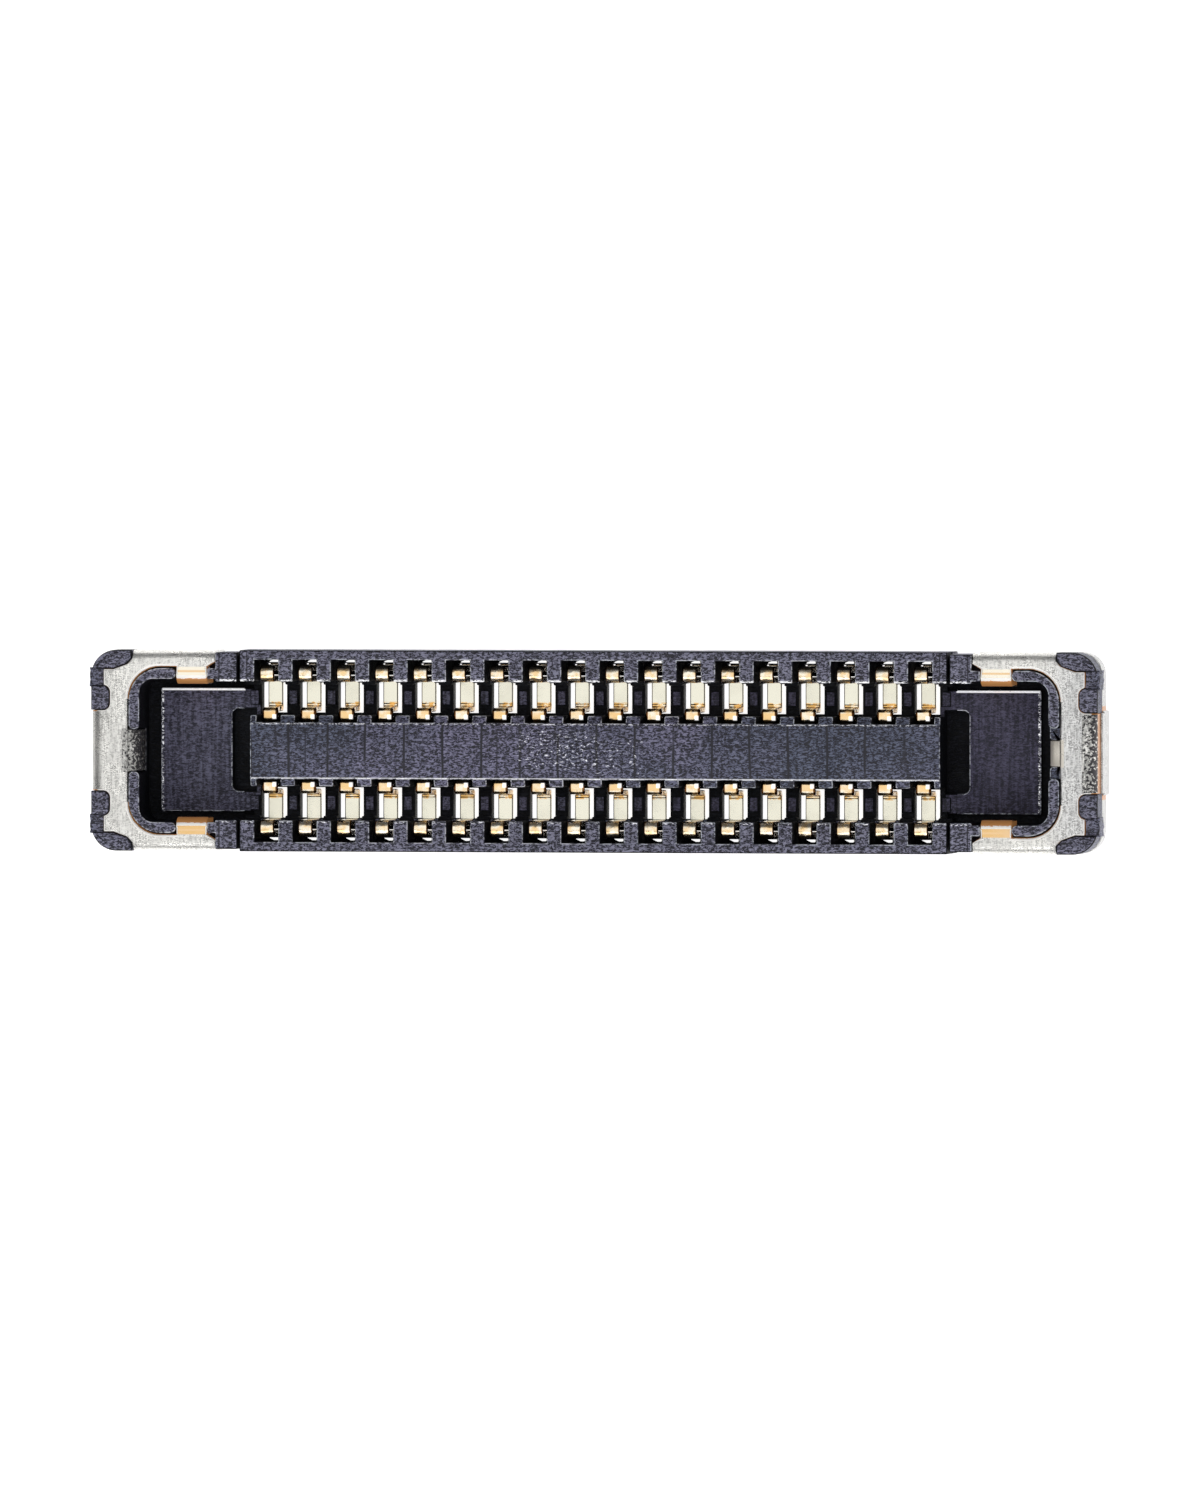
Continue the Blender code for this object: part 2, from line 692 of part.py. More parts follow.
def skirt_hollow(name, side):
    """Return the space that the end body of the housing fills."""
    bm = bmesh.new()
    outline = end_outline(
        WALL_END - CUT_MARGIN,
        METAL_END - PLATE_THICKNESS,
        HALF_WIDTH - PLATE_THICKNESS,
        SKIRT_RADIUS - PLATE_THICKNESS,
        CORNER_STEPS,
    )
    add_prism(bm, mirrored(outline, side), -CUT_MARGIN, PLATE_UNDER)
    return store(bm, name)


def plate_opening(name, side):
    """Return the opening of the top plate, with the slanted arm tips."""
    bm = bmesh.new()
    outline = end_outline(TAB_START, OPENING_END, OPENING_SIDE, RIM_RADIUS, CORNER_STEPS)
    slant = OPENING_SIDE + ARM_TIP_SLANT
    start = WALL_END - CUT_MARGIN
    tip = WALL_END + FIT_GAP
    outline = [(start, -slant), (tip, -slant)] + outline + [(tip, slant), (start, slant)]
    add_prism(bm, mirrored(outline, side), FLOOR_TOP, HEIGHT + CUT_MARGIN)
    return store(bm, name)


def skirt_relief(name, side):
    """Return the gaps under the skirt between its solder feet."""
    bm = bmesh.new()
    foot_start = TAB_START + END_FOOT_LENGTH
    foot_end = foot_start + SIDE_FOOT_LENGTH
    half = END_FOOT_SIDE
    start = WALL_END - CUT_MARGIN
    reach = HALF_WIDTH + CUT_MARGIN
    inner = BLOCK_SIDE - CUT_MARGIN
    far = METAL_END + CUT_MARGIN
    deep = BLOCK_END - CUT_MARGIN
    for side_y in both_ends():
        tip = [(start, reach), (foot_start, reach), (foot_start, inner), (start, inner)]
        corner = [(foot_end, reach), (far, reach), (far, half)]
        corner += [(deep, half), (deep, inner), (foot_end, inner)]
        for outline in (tip, corner):
            add_prism(bm, mirrored(outline, side, side_y), -CUT_MARGIN, SKIRT_RELIEF)
    return store(bm, name)


def end_foot(name, side):
    """Return the slightly proud solder foot in the middle of the end."""
    bm = bmesh.new()
    half = END_FOOT_SIDE
    x_span = (side * (METAL_END - PLATE_THICKNESS), side * (METAL_END + END_FOOT_BULGE))
    add_box(bm, x_span, (-half, half), (0, END_FOOT_HEIGHT))
    return store(bm, name)


def curled_tabs(name, side):
    """Return the two tabs that curl from the arms into the cavity."""
    bm = bmesh.new()
    level = PLATE_TOP - PLATE_THICKNESS / 2
    leg = CAVITY_SIDE + PLATE_THICKNESS / 2
    start = OPENING_SIDE + ARM_TIP_SLANT
    path = bend_path([(start, level), (leg, level), (leg, TAB_BOTTOM)], [BEND_RADIUS], [SMALL_STEPS])
    middle = side * (TAB_START + TAB_END) / 2
    for side_y in both_ends():
        add_ribbon(bm, path, PLATE_THICKNESS, [TAB_LENGTH] * 3, lambda u, v, w: (middle + w, side_y * u, v))
    return store(bm, name)


def centre_tongue(name, side):
    """Return the tongue that bends down from the end plate into the cavity."""
    bm = bmesh.new()
    level = PLATE_TOP - PLATE_THICKNESS / 2
    leg = CAVITY_END + PLATE_THICKNESS / 2
    start = OPENING_END + ARM_TIP_SLANT
    path = bend_path([(start, level), (leg, level), (leg, TAB_BOTTOM)], [BEND_RADIUS], [SMALL_STEPS])
    widths = [tongue_width(side)] * 3
    add_ribbon(bm, path, PLATE_THICKNESS, widths, lambda u, v, w: (side * u, w, v))
    return store(bm, name)


def build_hold_down(name, side, material):
    """Form one metal hold-down round its end of the housing."""
    metal = skirt_shell(name, side)
    combine(metal, end_foot(name + "_foot", side), "UNION")
    combine(metal, skirt_hollow(name + "_hollow", side), "DIFFERENCE")
    combine(metal, plate_opening(name + "_opening", side), "DIFFERENCE")
    combine(metal, skirt_relief(name + "_relief", side), "DIFFERENCE")
    for tool in corner_tools(name, FIT_GAP):
        combine(metal, tool, "DIFFERENCE")
    combine(metal, curled_tabs(name + "_tabs", side), "UNION")
    combine(metal, centre_tongue(name + "_tongue", side), "UNION")
    metal.data.shade_smooth()
    metal.data.set_sharp_from_angle(angle=math.radians(SHEET_SMOOTH_ANGLE))
    metal.data.materials.append(material)
    return metal


def build_contacts(material):
    """Form both rows of contacts, numbered from the left."""
    for row_name, row in ROWS:
        for index in range(CONTACTS_PER_ROW):
            x = index * PITCH - HALF_ROW
            build_contact(f"contact_{row_name}_{index + 1:02d}", x, row, material)


def main():
    """Build the whole connector."""
    clear_scene()
    plastic = make_material("moulded_plastic", (0.045, 0.045, 0.07), 0.55, 0.0)
    steel = make_material("plated_sheet", (0.72, 0.70, 0.66), 0.32, 1.0)
    gold = make_material("gold_plating", (0.95, 0.70, 0.36), 0.25, 1.0)
    build_housing(plastic)
    build_hold_down("hold_down_left", -1, steel)
    build_hold_down("hold_down_right", 1, steel)
    build_contacts(gold)


main()
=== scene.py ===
"""Dress the fine-pitch receptacle connector and set it in a plain studio.

The moulded housing, the two formed hold-downs and the stamped contacts are
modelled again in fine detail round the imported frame, each in the place of its
own solid. Lengths are in millimetres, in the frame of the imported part, and each
finished piece is brought to metres.
"""

import logging
import math
from abc import ABC, abstractmethod
from contextlib import contextmanager
from dataclasses import dataclass
from enum import Enum, IntEnum
from functools import reduce
from typing import Callable, Iterable, Iterator, NamedTuple

import bmesh
import bpy
from mathutils import Matrix, Vector


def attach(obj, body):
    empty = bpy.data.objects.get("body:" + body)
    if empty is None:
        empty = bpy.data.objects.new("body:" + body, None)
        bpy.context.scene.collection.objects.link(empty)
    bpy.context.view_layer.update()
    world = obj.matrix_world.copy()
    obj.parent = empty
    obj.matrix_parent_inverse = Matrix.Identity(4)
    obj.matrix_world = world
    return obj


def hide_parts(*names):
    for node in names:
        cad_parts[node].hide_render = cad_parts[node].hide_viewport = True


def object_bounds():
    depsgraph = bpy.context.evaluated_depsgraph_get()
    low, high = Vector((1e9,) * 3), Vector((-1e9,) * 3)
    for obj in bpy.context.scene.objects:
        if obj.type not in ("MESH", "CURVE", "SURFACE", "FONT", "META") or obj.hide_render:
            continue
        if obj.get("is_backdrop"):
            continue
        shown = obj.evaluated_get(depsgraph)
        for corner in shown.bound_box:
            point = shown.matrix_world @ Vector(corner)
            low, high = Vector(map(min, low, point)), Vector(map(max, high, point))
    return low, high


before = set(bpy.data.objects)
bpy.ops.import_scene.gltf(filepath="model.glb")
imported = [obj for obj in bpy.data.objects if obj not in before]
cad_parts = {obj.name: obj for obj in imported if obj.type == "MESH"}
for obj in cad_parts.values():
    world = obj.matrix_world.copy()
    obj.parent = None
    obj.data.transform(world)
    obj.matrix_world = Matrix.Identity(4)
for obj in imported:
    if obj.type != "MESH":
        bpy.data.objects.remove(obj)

LOG = logging.getLogger("connector")
BODY = "root"
SIDES = (-1, 1)
CUT_MARGIN = 0.10
NEAR = 0.0005
WELD = 0.0002
FINE_WELD = 0.00001
FLAT = 0.5
UPWARD = 0.9
FLAT_ANGLE = 0.5
MILLIMETRE = 0.001
ZONE_EDGE = 0.006
LOWEST = -1.0
HIGHEST = 1.0

Span = tuple[float, float]
Spot = tuple[float, float, float]
Colour = tuple[float, float, float, float]
Piece = bpy.types.Object
Socket = bpy.types.NodeSocket
EdgeTest = Callable[[bmesh.types.BMEdge], bool]

BLACK: Colour = (0.0, 0.0, 0.0, 1.0)
WHITE: Colour = (1.0, 1.0, 1.0, 1.0)


class Row(Enum):
    """The two rows of contacts, by the sign of their Y."""

    REAR = 1
    FRONT = -1


class End(Enum):
    """The two ends of the connector, by the sign of their X."""

    LEFT = -1
    RIGHT = 1


class Surface(IntEnum):
    """The housing's plastic and its painted-light copies, by the slot of each in its mesh."""

    PLAIN = 0
    # Painted highlight on the rounded edges.
    HIGHLIT = 1
    # Painted shade on steep inner walls, recesses and dark edges.
    SHADED = 2
    # A darker painted-shade copy for the sunk platforms and crests.
    LOW = 3


@dataclass(frozen=True)
class Layout:
    """Sizes that more than one piece is set out from."""

    pitch: float = 0.35
    contacts_per_row: int = 18
    half_width: float = 0.905
    height: float = 0.60
    standoff: float = 0.03
    gap: float = 0.005
    wall: float = 0.28
    floor_top: float = 0.18
    island_side: float = 0.32
    island_drop: float = 0.10
    island_margin: float = 0.165
    key_slot: float = 0.218
    platform: float = 0.652
    moat: float = 0.127
    moat_side: float = 0.09
    moat_floor: float = 0.09
    rim: float = 0.096
    rim_groove: float = 0.043
    rim_side_groove: float = 0.013
    plate_end: float = 0.304
    plate_arm: float = 0.151
    plate: float = 0.08
    plate_drop: float = 0.012
    end_groove_offset: float = 0.245
    end_groove: float = 0.02
    end_block: float = 0.20
    end_foot: float = 0.08
    tab: float = 0.28
    tab_bottom: float = 0.25
    bend: float = 0.05
    tongue_bend: float = 0.09
    left_tongue: float = 0.37
    right_tongue: float = 0.23
    skirt_radius: float = 0.20

    @property
    def half_row(self) -> float:
        """X of the last contact of a row."""
        return self.pitch * (self.contacts_per_row - 1) / 2

    @property
    def wall_face(self) -> float:
        """Y of the long walls' inner faces."""
        return self.half_width - self.wall

    @property
    def island_top(self) -> float:
        """Z of the island's top face."""
        return self.height - self.island_drop

    @property
    def island_end(self) -> float:
        """X of the island's end faces."""
        return self.half_row + self.island_margin

    @property
    def platform_start(self) -> float:
        """X where an end platform starts."""
        return self.island_end + self.key_slot

    @property
    def platform_end(self) -> float:
        """X where an end platform stops."""
        return self.platform_start + self.platform

    @property
    def cavity_end(self) -> float:
        """X of the inner face of an end rim."""
        return self.platform_end + self.moat

    @property
    def rim_end(self) -> float:
        """X of the outer face of an end rim."""
        return self.cavity_end + self.rim

    @property
    def opening_end(self) -> float:
        """X of the inner edge of the metal plate."""
        return self.rim_end + self.rim_groove

    @property
    def metal_end(self) -> float:
        """X of the outer face of the metal skirt."""
        return self.opening_end + self.plate_end

    @property
    def opening_side(self) -> float:
        """Y of the inner edge of the metal arms."""
        return self.half_width - self.plate_arm

    @property
    def rim_side(self) -> float:
        """Y of the outer face of an end rim."""
        return self.opening_side - self.rim_side_groove

    @property
    def cavity_side(self) -> float:
        """Y of the inner face of an end rim."""
        return self.rim_side - self.rim

    @property
    def groove_x(self) -> float:
        """X where the groove at a wall's end starts."""
        return self.half_row + self.end_groove_offset

    @property
    def wall_end(self) -> float:
        """X of the outer face of an end block."""
        return self.groove_x + self.end_groove + self.end_block

    @property
    def tab_start(self) -> float:
        """X where the gold tab starts."""
        return self.wall_end + self.end_foot

    @property
    def tab_end(self) -> float:
        """X where the gold tab stops."""
        return self.tab_start + self.tab

    @property
    def plate_top(self) -> float:
        """Z of the metal plate's top face."""
        return self.height - self.plate_drop

    @property
    def plate_under(self) -> float:
        """Z of the metal plate's lower face."""
        return self.plate_top - self.plate

    def tongue(self, end: End) -> float:
        """Return the width of the centre tongue at one end."""
        return self.left_tongue if end is End.LEFT else self.right_tongue

    def contact_spots(self) -> Iterator[tuple[float, int]]:
        """Yield the X and the row's sign of every contact."""
        for row in Row:
            for index in range(self.contacts_per_row):
                yield index * self.pitch - self.half_row, row.value


def deselect_all() -> None:
    """Leave nothing selected, in object mode."""
    if bpy.context.mode != "OBJECT":
        bpy.ops.object.mode_set(mode="OBJECT")
    bpy.ops.object.select_all(action="DESELECT")


def make_active(piece: Piece) -> None:
    """Select one piece alone and make it active."""
    deselect_all()
    piece.select_set(True)
    bpy.context.view_layer.objects.active = piece


@contextmanager
def editing(piece: Piece, mode: str = "EDGE", action: str = "DESELECT") -> Iterator[bmesh.types.BMesh]:
    """Open a piece in edit mode.

    Args:
        piece: The piece to edit.
        mode: The kind of element to select.
        action: What is done to the selection at the start.

    Yields:
        The piece's mesh, to select elements in.
    """
    make_active(piece)
    bpy.ops.object.mode_set(mode="EDIT")
    bpy.ops.mesh.select_mode(type=mode)
    bpy.ops.mesh.select_all(action=action)
    yield bmesh.from_edit_mesh(piece.data)
    bpy.ops.object.mode_set(mode="OBJECT")


def block(name: str, x: Span, y: Span, z: Span) -> Piece:
    """Add a cube between pairs of limits, given in any order.

    Args:
        name: The new piece's name.
        x: Limits along X.
        y: Limits along Y.
        z: Limits along Z.

    Returns:
        The new piece, with its place in its mesh.
    """
    deselect_all()
    middle = [sum(span) / 2 for span in (x, y, z)]
    bpy.ops.mesh.primitive_cube_add(size=1.0, location=middle)
    piece = bpy.context.active_object
    piece.name = name
    piece.scale = [abs(span[1] - span[0]) for span in (x, y, z)]
    bpy.ops.object.transform_apply(location=True, rotation=True, scale=True)
    return piece


def round_edges(
    piece: Piece,
    test: EdgeTest,
    radius: float,
    segments: int,
    material: int = -1,
) -> Piece:
    """Bevel the edges that pass a test, in edit mode.

    Args:
        piece: The piece to shape.
        test: Says which edges are rounded.
        radius: The radius of the rounding.
        segments: How many flats make the rounding.
        material: The material slot of the new faces.

    Returns:
        The same piece.
    """
    with editing(piece) as shape:
        for edge in shape.edges:
            edge.select_set(test(edge))
        bmesh.update_edit_mesh(piece.data)
        bpy.ops.mesh.bevel(
            offset=radius, offset_type="OFFSET", segments=segments, affect="EDGES", material=material
        )
    return piece


def sharper_than(degrees: float) -> EdgeTest:
    """Return a test for outer edges whose faces differ by more than an angle."""
    limit = math.radians(degrees)
    return lambda edge: edge.is_manifold and edge.calc_face_angle_signed() > limit


def is_upright(edge: bmesh.types.BMEdge) -> bool:
    """Tell whether an edge runs along Z."""
    first, last = (vert.co for vert in edge.verts)
    return math.dist(first.xy, last.xy) < NEAR


def far_uprights(limit: float) -> EdgeTest:
    """Return a test for upright edges further out along X than a limit."""
    return lambda edge: is_upright(edge) and edge.verts[0].co.x > limit


def near_uprights(limit: float) -> EdgeTest:
    """Return a test for upright edges nearer along X than a limit."""
    return lambda edge: is_upright(edge) and edge.verts[0].co.x < limit


def top_edges(level: float, near: float) -> EdgeTest:
    """Return a test for the edges of a top face, but not at its near end.

    Args:
        level: The top face's Z.
        near: X of the end that is left sharp.

    Returns:
        The test.
    """

    def test(edge: bmesh.types.BMEdge) -> bool:
        """Tell whether one edge is on the top outline."""
        high = all(abs(vert.co.z - level) < NEAR for vert in edge.verts)
        at_near = all(abs(vert.co.x - near) < NEAR for vert in edge.verts)
        return high and not at_near and len({face.normal.z > UPWARD for face in edge.link_faces}) == 2

    return test


def trim(piece: Piece, point: Spot, normal: Spot) -> Piece:
    """Cut a piece by a plane and cap it.

    Args:
        piece: The piece to cut.
        point: A point in the plane.
        normal: The plane's normal, which points to the side that is dropped.

    Returns:
        The same piece.
    """
    with editing(piece, action="SELECT"):
        bpy.ops.mesh.bisect(plane_co=point, plane_no=normal, use_fill=True, clear_outer=True)
    return piece


def apply(piece: Piece, kind: str, **settings: object) -> Piece:
    """Add a modifier with its settings and apply it at once.

    Args:
        piece: The piece to change.
        kind: Blender's name of the modifier's type.
        **settings: Values of the modifier's own properties.

    Returns:
        The same piece.
    """
    modifier = piece.modifiers.new(kind.title(), kind)
    for name, value in settings.items():
        setattr(modifier, name, value)
    make_active(piece)
    bpy.ops.object.modifier_apply(modifier=modifier.name)
    return piece


def combine(piece: Piece, tool: Piece, operation: str) -> Piece:
    """Join a tool to a piece, or cut it away, and delete the tool.

    Args:
        piece: The piece to change.
        tool: The shape that is used up.
        operation: Blender's name of the boolean operation.

    Returns:
        The same piece.
    """
    apply(piece, "BOOLEAN", operation=operation, solver="EXACT", object=tool)
    bpy.data.objects.remove(tool)
    return piece


def carve(piece: Piece, *tools: Piece) -> Piece:
    """Cut every tool away from a piece, one after another."""
    for tool in tools:
        combine(piece, tool, "DIFFERENCE")
    return piece


def fuse(piece: Piece, *tools: Piece) -> Piece:
    """Join every tool to a piece, one after another."""
    for tool in tools:
        combine(piece, tool, "UNION")
    return piece


def placed_copy(piece: Piece, place: Matrix, name: str) -> Piece:
    """Copy a piece with its own mesh, moved or mirrored in its mesh.

    Args:
        piece: The piece to copy.
        place: Where the copy's mesh goes.
        name: The copy's name.

    Returns:
        The copy.
    """
    twin = piece.copy()
    twin.data = piece.data.copy()
    twin.name = name
    bpy.context.scene.collection.objects.link(twin)
    twin.data.transform(place)
    if place.determinant() < 0:
        twin.data.flip_normals()
    return twin


def gathered(pieces: list[Piece], name: str) -> Piece:
    """Join pieces that stay apart into one object.

    Args:
        pieces: The pieces, of which the first one is kept.
        name: The joined piece's name.

    Returns:
        The joined piece.
    """
    make_active(pieces[0])
    for piece in pieces:
        piece.select_set(True)
    bpy.ops.object.join()
    pieces[0].name = name
    return pieces[0]


def scattered(piece: Piece, places: Iterable[Matrix]) -> Piece:
    """Copy a piece to every place and delete the first one.

    Args:
        piece: The piece to copy.
        places: Where its copies go.

    Returns:
        All copies as one object.
    """
    name = piece.name
    copies = [placed_copy(piece, place, name) for place in places]
    bpy.data.objects.remove(piece)
    return gathered(copies, name)


def flipped(side_x: int, side_y: int = 1) -> Matrix:
    """Return the mirror that takes the +X, +Y quarter to another one."""
    return Matrix.Diagonal((side_x, side_y, 1, 1))


def at_both_ends(piece: Piece) -> Piece:
    """Return the piece and its mirror at the other end, as one object."""
    return scattered(piece, [flipped(side) for side in SIDES])


def at_all_corners(piece: Piece) -> Piece:
    """Return the piece at all four corners, as one object."""
    return scattered(piece, [flipped(side_x, side_y) for side_x in SIDES for side_y in SIDES])


def to_metres(piece: Piece) -> None:
    """Bring a finished piece from millimetres to metres, in its mesh."""
    piece.data.transform(Matrix.Scale(MILLIMETRE, 4))


def smooth(piece: Piece, degrees: float) -> None:
    """Shade a piece smooth up to an angle between faces."""
    make_active(piece)
    bpy.ops.object.shade_smooth_by_angle(angle=math.radians(degrees))


def clean(piece: Piece) -> None:
    """Merge doubled points, dissolve flat splits and point faces outwards."""
    with editing(piece, action="SELECT"):
        bpy.ops.mesh.remove_doubles(threshold=WELD)
        bpy.ops.mesh.dissolve_limited(angle_limit=math.radians(FLAT_ANGLE))
        bpy.ops.mesh.normals_make_consistent(inside=False)


def clean_normals(piece: Piece) -> None:
    """Point all faces of a closed piece outwards."""
    with editing(piece, action="SELECT"):
        bpy.ops.mesh.normals_make_consistent(inside=False)


class StripFormer:
    """Forms a flat strip in YZ, as a press brake does, one bend after another."""

    def __init__(self, name: str, start: Span, heading: float, width: float, first: float) -> None:
        """Lay the first straight length of the strip.

        Args:
            name: The new piece's name.
            start: Y and Z of the strip's free end.
            heading: Direction in degrees, 0 along -Y and 90 along +Z.
            width: The strip's width along X.
            first: The first straight length.
        """
        self.width = width
        self.heading = math.radians(heading)
        begin = Vector((0.0, *start))
        self.spot = begin + self._along() * first
        deselect_all()
        middle = (begin + self.spot) / 2
        bpy.ops.mesh.primitive_plane_add(size=1.0, location=middle, rotation=(-self.heading, 0.0, 0.0))
        self.piece = bpy.context.active_object
        self.piece.name = name
        self.piece.scale = (width, first, 1.0)
        bpy.ops.object.transform_apply(location=True, rotation=True, scale=True)
        bpy.ops.object.mode_set(mode="EDIT")
        bpy.ops.mesh.select_mode(type="EDGE")
        bpy.ops.mesh.select_all(action="DESELECT")
        shape = bmesh.from_edit_mesh(self.piece.data)
        for edge in shape.edges:
            reach = min((vert.co - begin).dot(self._along()) for vert in edge.verts)
            edge.select_set(reach > first / 2)
        bmesh.update_edit_mesh(self.piece.data)

    def _along(self) -> Vector:
        """Return the direction of the strip's leading edge."""
        return Vector((0.0, -math.cos(self.heading), math.sin(self.heading)))

    def straight(self, length: float, width: float | None = None) -> "StripFormer":
        """Add a straight length, tapered to a new width if one is given.

        Args:
            length: The length along the strip.
            width: The width at its far end.

        Returns:
            This former, for the next step.
        """
        step = self._along() * length
        bpy.ops.mesh.extrude_region_move(TRANSFORM_OT_translate={"value": step})
        self.spot += step
        if width is not None:
            ratio = (width / self.width, 1.0, 1.0)
            bpy.ops.transform.resize(value=ratio, center_override=self.spot)
            self.width = width
        return self

    def bend(self, turn: float, radius: float, steps: int) -> "StripFormer":
        """Bend the strip about an axis along X.

        Args:
            turn: The turn in degrees, positive from -Y towards +Z.
            radius: The radius at the middle of the sheet.
            steps: How many flats make the bend.

        Returns:
            This former, for the next step.
        """
        angle = math.radians(turn)
        sense = 1 if turn > 0 else -1
        inward = Vector((0.0, math.sin(self.heading), math.cos(self.heading))) * sense
        centre = self.spot + inward * radius
        bpy.ops.mesh.spin(steps=steps, angle=angle, center=centre, axis=(1, 0, 0))
        self.heading += angle
        outward = Vector((0.0, math.sin(self.heading), math.cos(self.heading))) * sense
        self.spot = centre - outward * radius
        return self

    def finish(self, thickness: float) -> Piece:
        """Give the strip its thickness about its middle and return it."""
        bpy.ops.mesh.select_all(action="SELECT")
        bpy.ops.mesh.remove_doubles(threshold=FINE_WELD)
        bpy.ops.mesh.normals_make_consistent(inside=False)
        bpy.ops.object.mode_set(mode="OBJECT")
        apply(self.piece, "SOLIDIFY", thickness=thickness, offset=0.0, use_even_offset=True)
        clean_normals(self.piece)
        return self.piece


@dataclass(frozen=True)
class CornerPlastic:
    """The plastic that shows through the metal at each corner."""

    layout: Layout
    length: float = 0.374
    width: float = 0.17
    radius: float = 0.23
    bottom: float = 0.30
    gate_length: float = 0.127
    gate_width: float = 0.156
    gate_drop: float = 0.05
    gate_overhang: float = 0.014
    lug_length: float = 0.17
    lug_width: float = 0.214
    lug_radius: float = 0.06
    lap: float = 0.006
    slant: tuple[Span, Span] = ((0.55, 0.0), (0.88, 0.25))
    slant_end: float = 0.55
    round_steps: int = 12
    lug_steps: int = 6
    corner_softness: float = 0.035
    lug_softness: float = 0.028
    gate_cuts: int = 5
    gate_roughness: float = 0.006
    gate_seed: int = 4

    @property
    def corner_inner(self) -> float:
        """Y where a corner meets its cut gate."""
        return self.layout.half_width - self.width

    @property
    def gate_inner(self) -> float:
        """Y where a cut gate meets its lug."""
        return self.corner_inner - self.gate_width

    def corner(self, grow: float = 0.0) -> Piece:
        """Shape the plastic of one corner, or the window for it.

        Args:
            grow: The window's clearance, 0 for the plastic itself.

        Returns:
            The shape at the +X, +Y corner.
        """
        size = self.layout
        near = size.metal_end - self.length - grow
        inner = self.corner_inner - grow
        out = CUT_MARGIN if grow else 0.0
        top = size.height + out
        far = size.metal_end + out
        side = size.half_width + out
        shape = block("corner", (near, far), (inner - 2 * self.radius, side), (self.bottom - grow, top))
        if not grow:
            round_edges(shape, far_uprights(near + NEAR), self.radius, self.round_steps)
        trim(shape, (near, inner, 0), (0, -1, 0))
        edge = self.width + grow
        slant = [
            (size.metal_end - self.length * along, inner + edge * across) for along, across in self.slant
        ]
        slant.append((near, inner + edge * self.slant_end))
        for start, stop in zip(slant, slant[1:]):
            trim(shape, (*start, 0.0), (start[1] - stop[1], stop[0] - start[0], 0.0))
        return shape

    def lug(self, grow: float = 0.0) -> Piece:
        """Shape one round-ended lug, or the window for it.

        Args:
            grow: The window's clearance, 0 for the lug itself.

        Returns:
            The shape at the +X, +Y corner.
        """
        size = self.layout
        near = size.metal_end - self.lug_length - grow
        far = size.metal_end + (CUT_MARGIN if grow else 0.0)
        low = self.gate_inner - self.lug_width - grow
        high = self.gate_inner + self.lap + grow
        top = size.height + (CUT_MARGIN if grow else 0.0)
        shape = block("lug", (near, far), (low, high), (self.bottom - grow, top))
        return round_edges(shape, near_uprights(near + NEAR), self.lug_radius + grow, self.lug_steps)

    def gate(self, grow: float = 0.0) -> Piece:
        """Shape one cut gate, or the window for it.

        Args:
            grow: The window's clearance, 0 for the gate itself.

        Returns:
            The shape at the +X, +Y corner.
        """
        size = self.layout
        near = size.metal_end + self.gate_overhang - self.gate_length - grow
        far = size.metal_end + self.gate_overhang + (CUT_MARGIN if grow else 0.0)
        top = size.height + CUT_MARGIN if grow else size.height - self.gate_drop
        y = (self.gate_inner - self.lap, self.corner_inner + self.lap)
        return block("gate", (near, far), y, (self.bottom - grow, top))

    def windows(self) -> list[Piece]:
        """Return the metal's windows for all four corners."""
        gap = self.layout.gap
        return [at_all_corners(make(gap)) for make in (self.corner, self.lug, self.gate)]

    def mouldings(self) -> list[Piece]:
        """Return the softly rounded plastic for all four corners."""
        corner = soften_top(self.corner(), self.layout.height, self.corner_softness)
        lug = soften_top(self.lug(), self.layout.height, self.lug_softness)
        gate = roughen(self.gate(), self.gate_cuts, self.gate_roughness, self.gate_seed)
        return [at_all_corners(shape) for shape in (corner, lug, gate)]


def soften_top(piece: Piece, level: float, radius: float) -> Piece:
    """Round the whole outline of a top face."""
    return round_edges(piece, top_edges(level, math.inf), radius, 4)


def roughen(piece: Piece, cuts: int, reach: float, seed: int) -> Piece:
    """Divide a block finely and shift its points, as on a broken face.

    Args:
        piece: The block.
        cuts: How often each edge is divided.
        reach: How far a point moves.
        seed: The seed of the random shifts.

    Returns:
        The same piece.
    """
    with editing(piece, action="SELECT"):
        bpy.ops.mesh.subdivide(number_cuts=cuts)
        bpy.ops.transform.vertex_random(offset=reach, uniform=1.0, normal=0.0, seed=seed)
    return piece


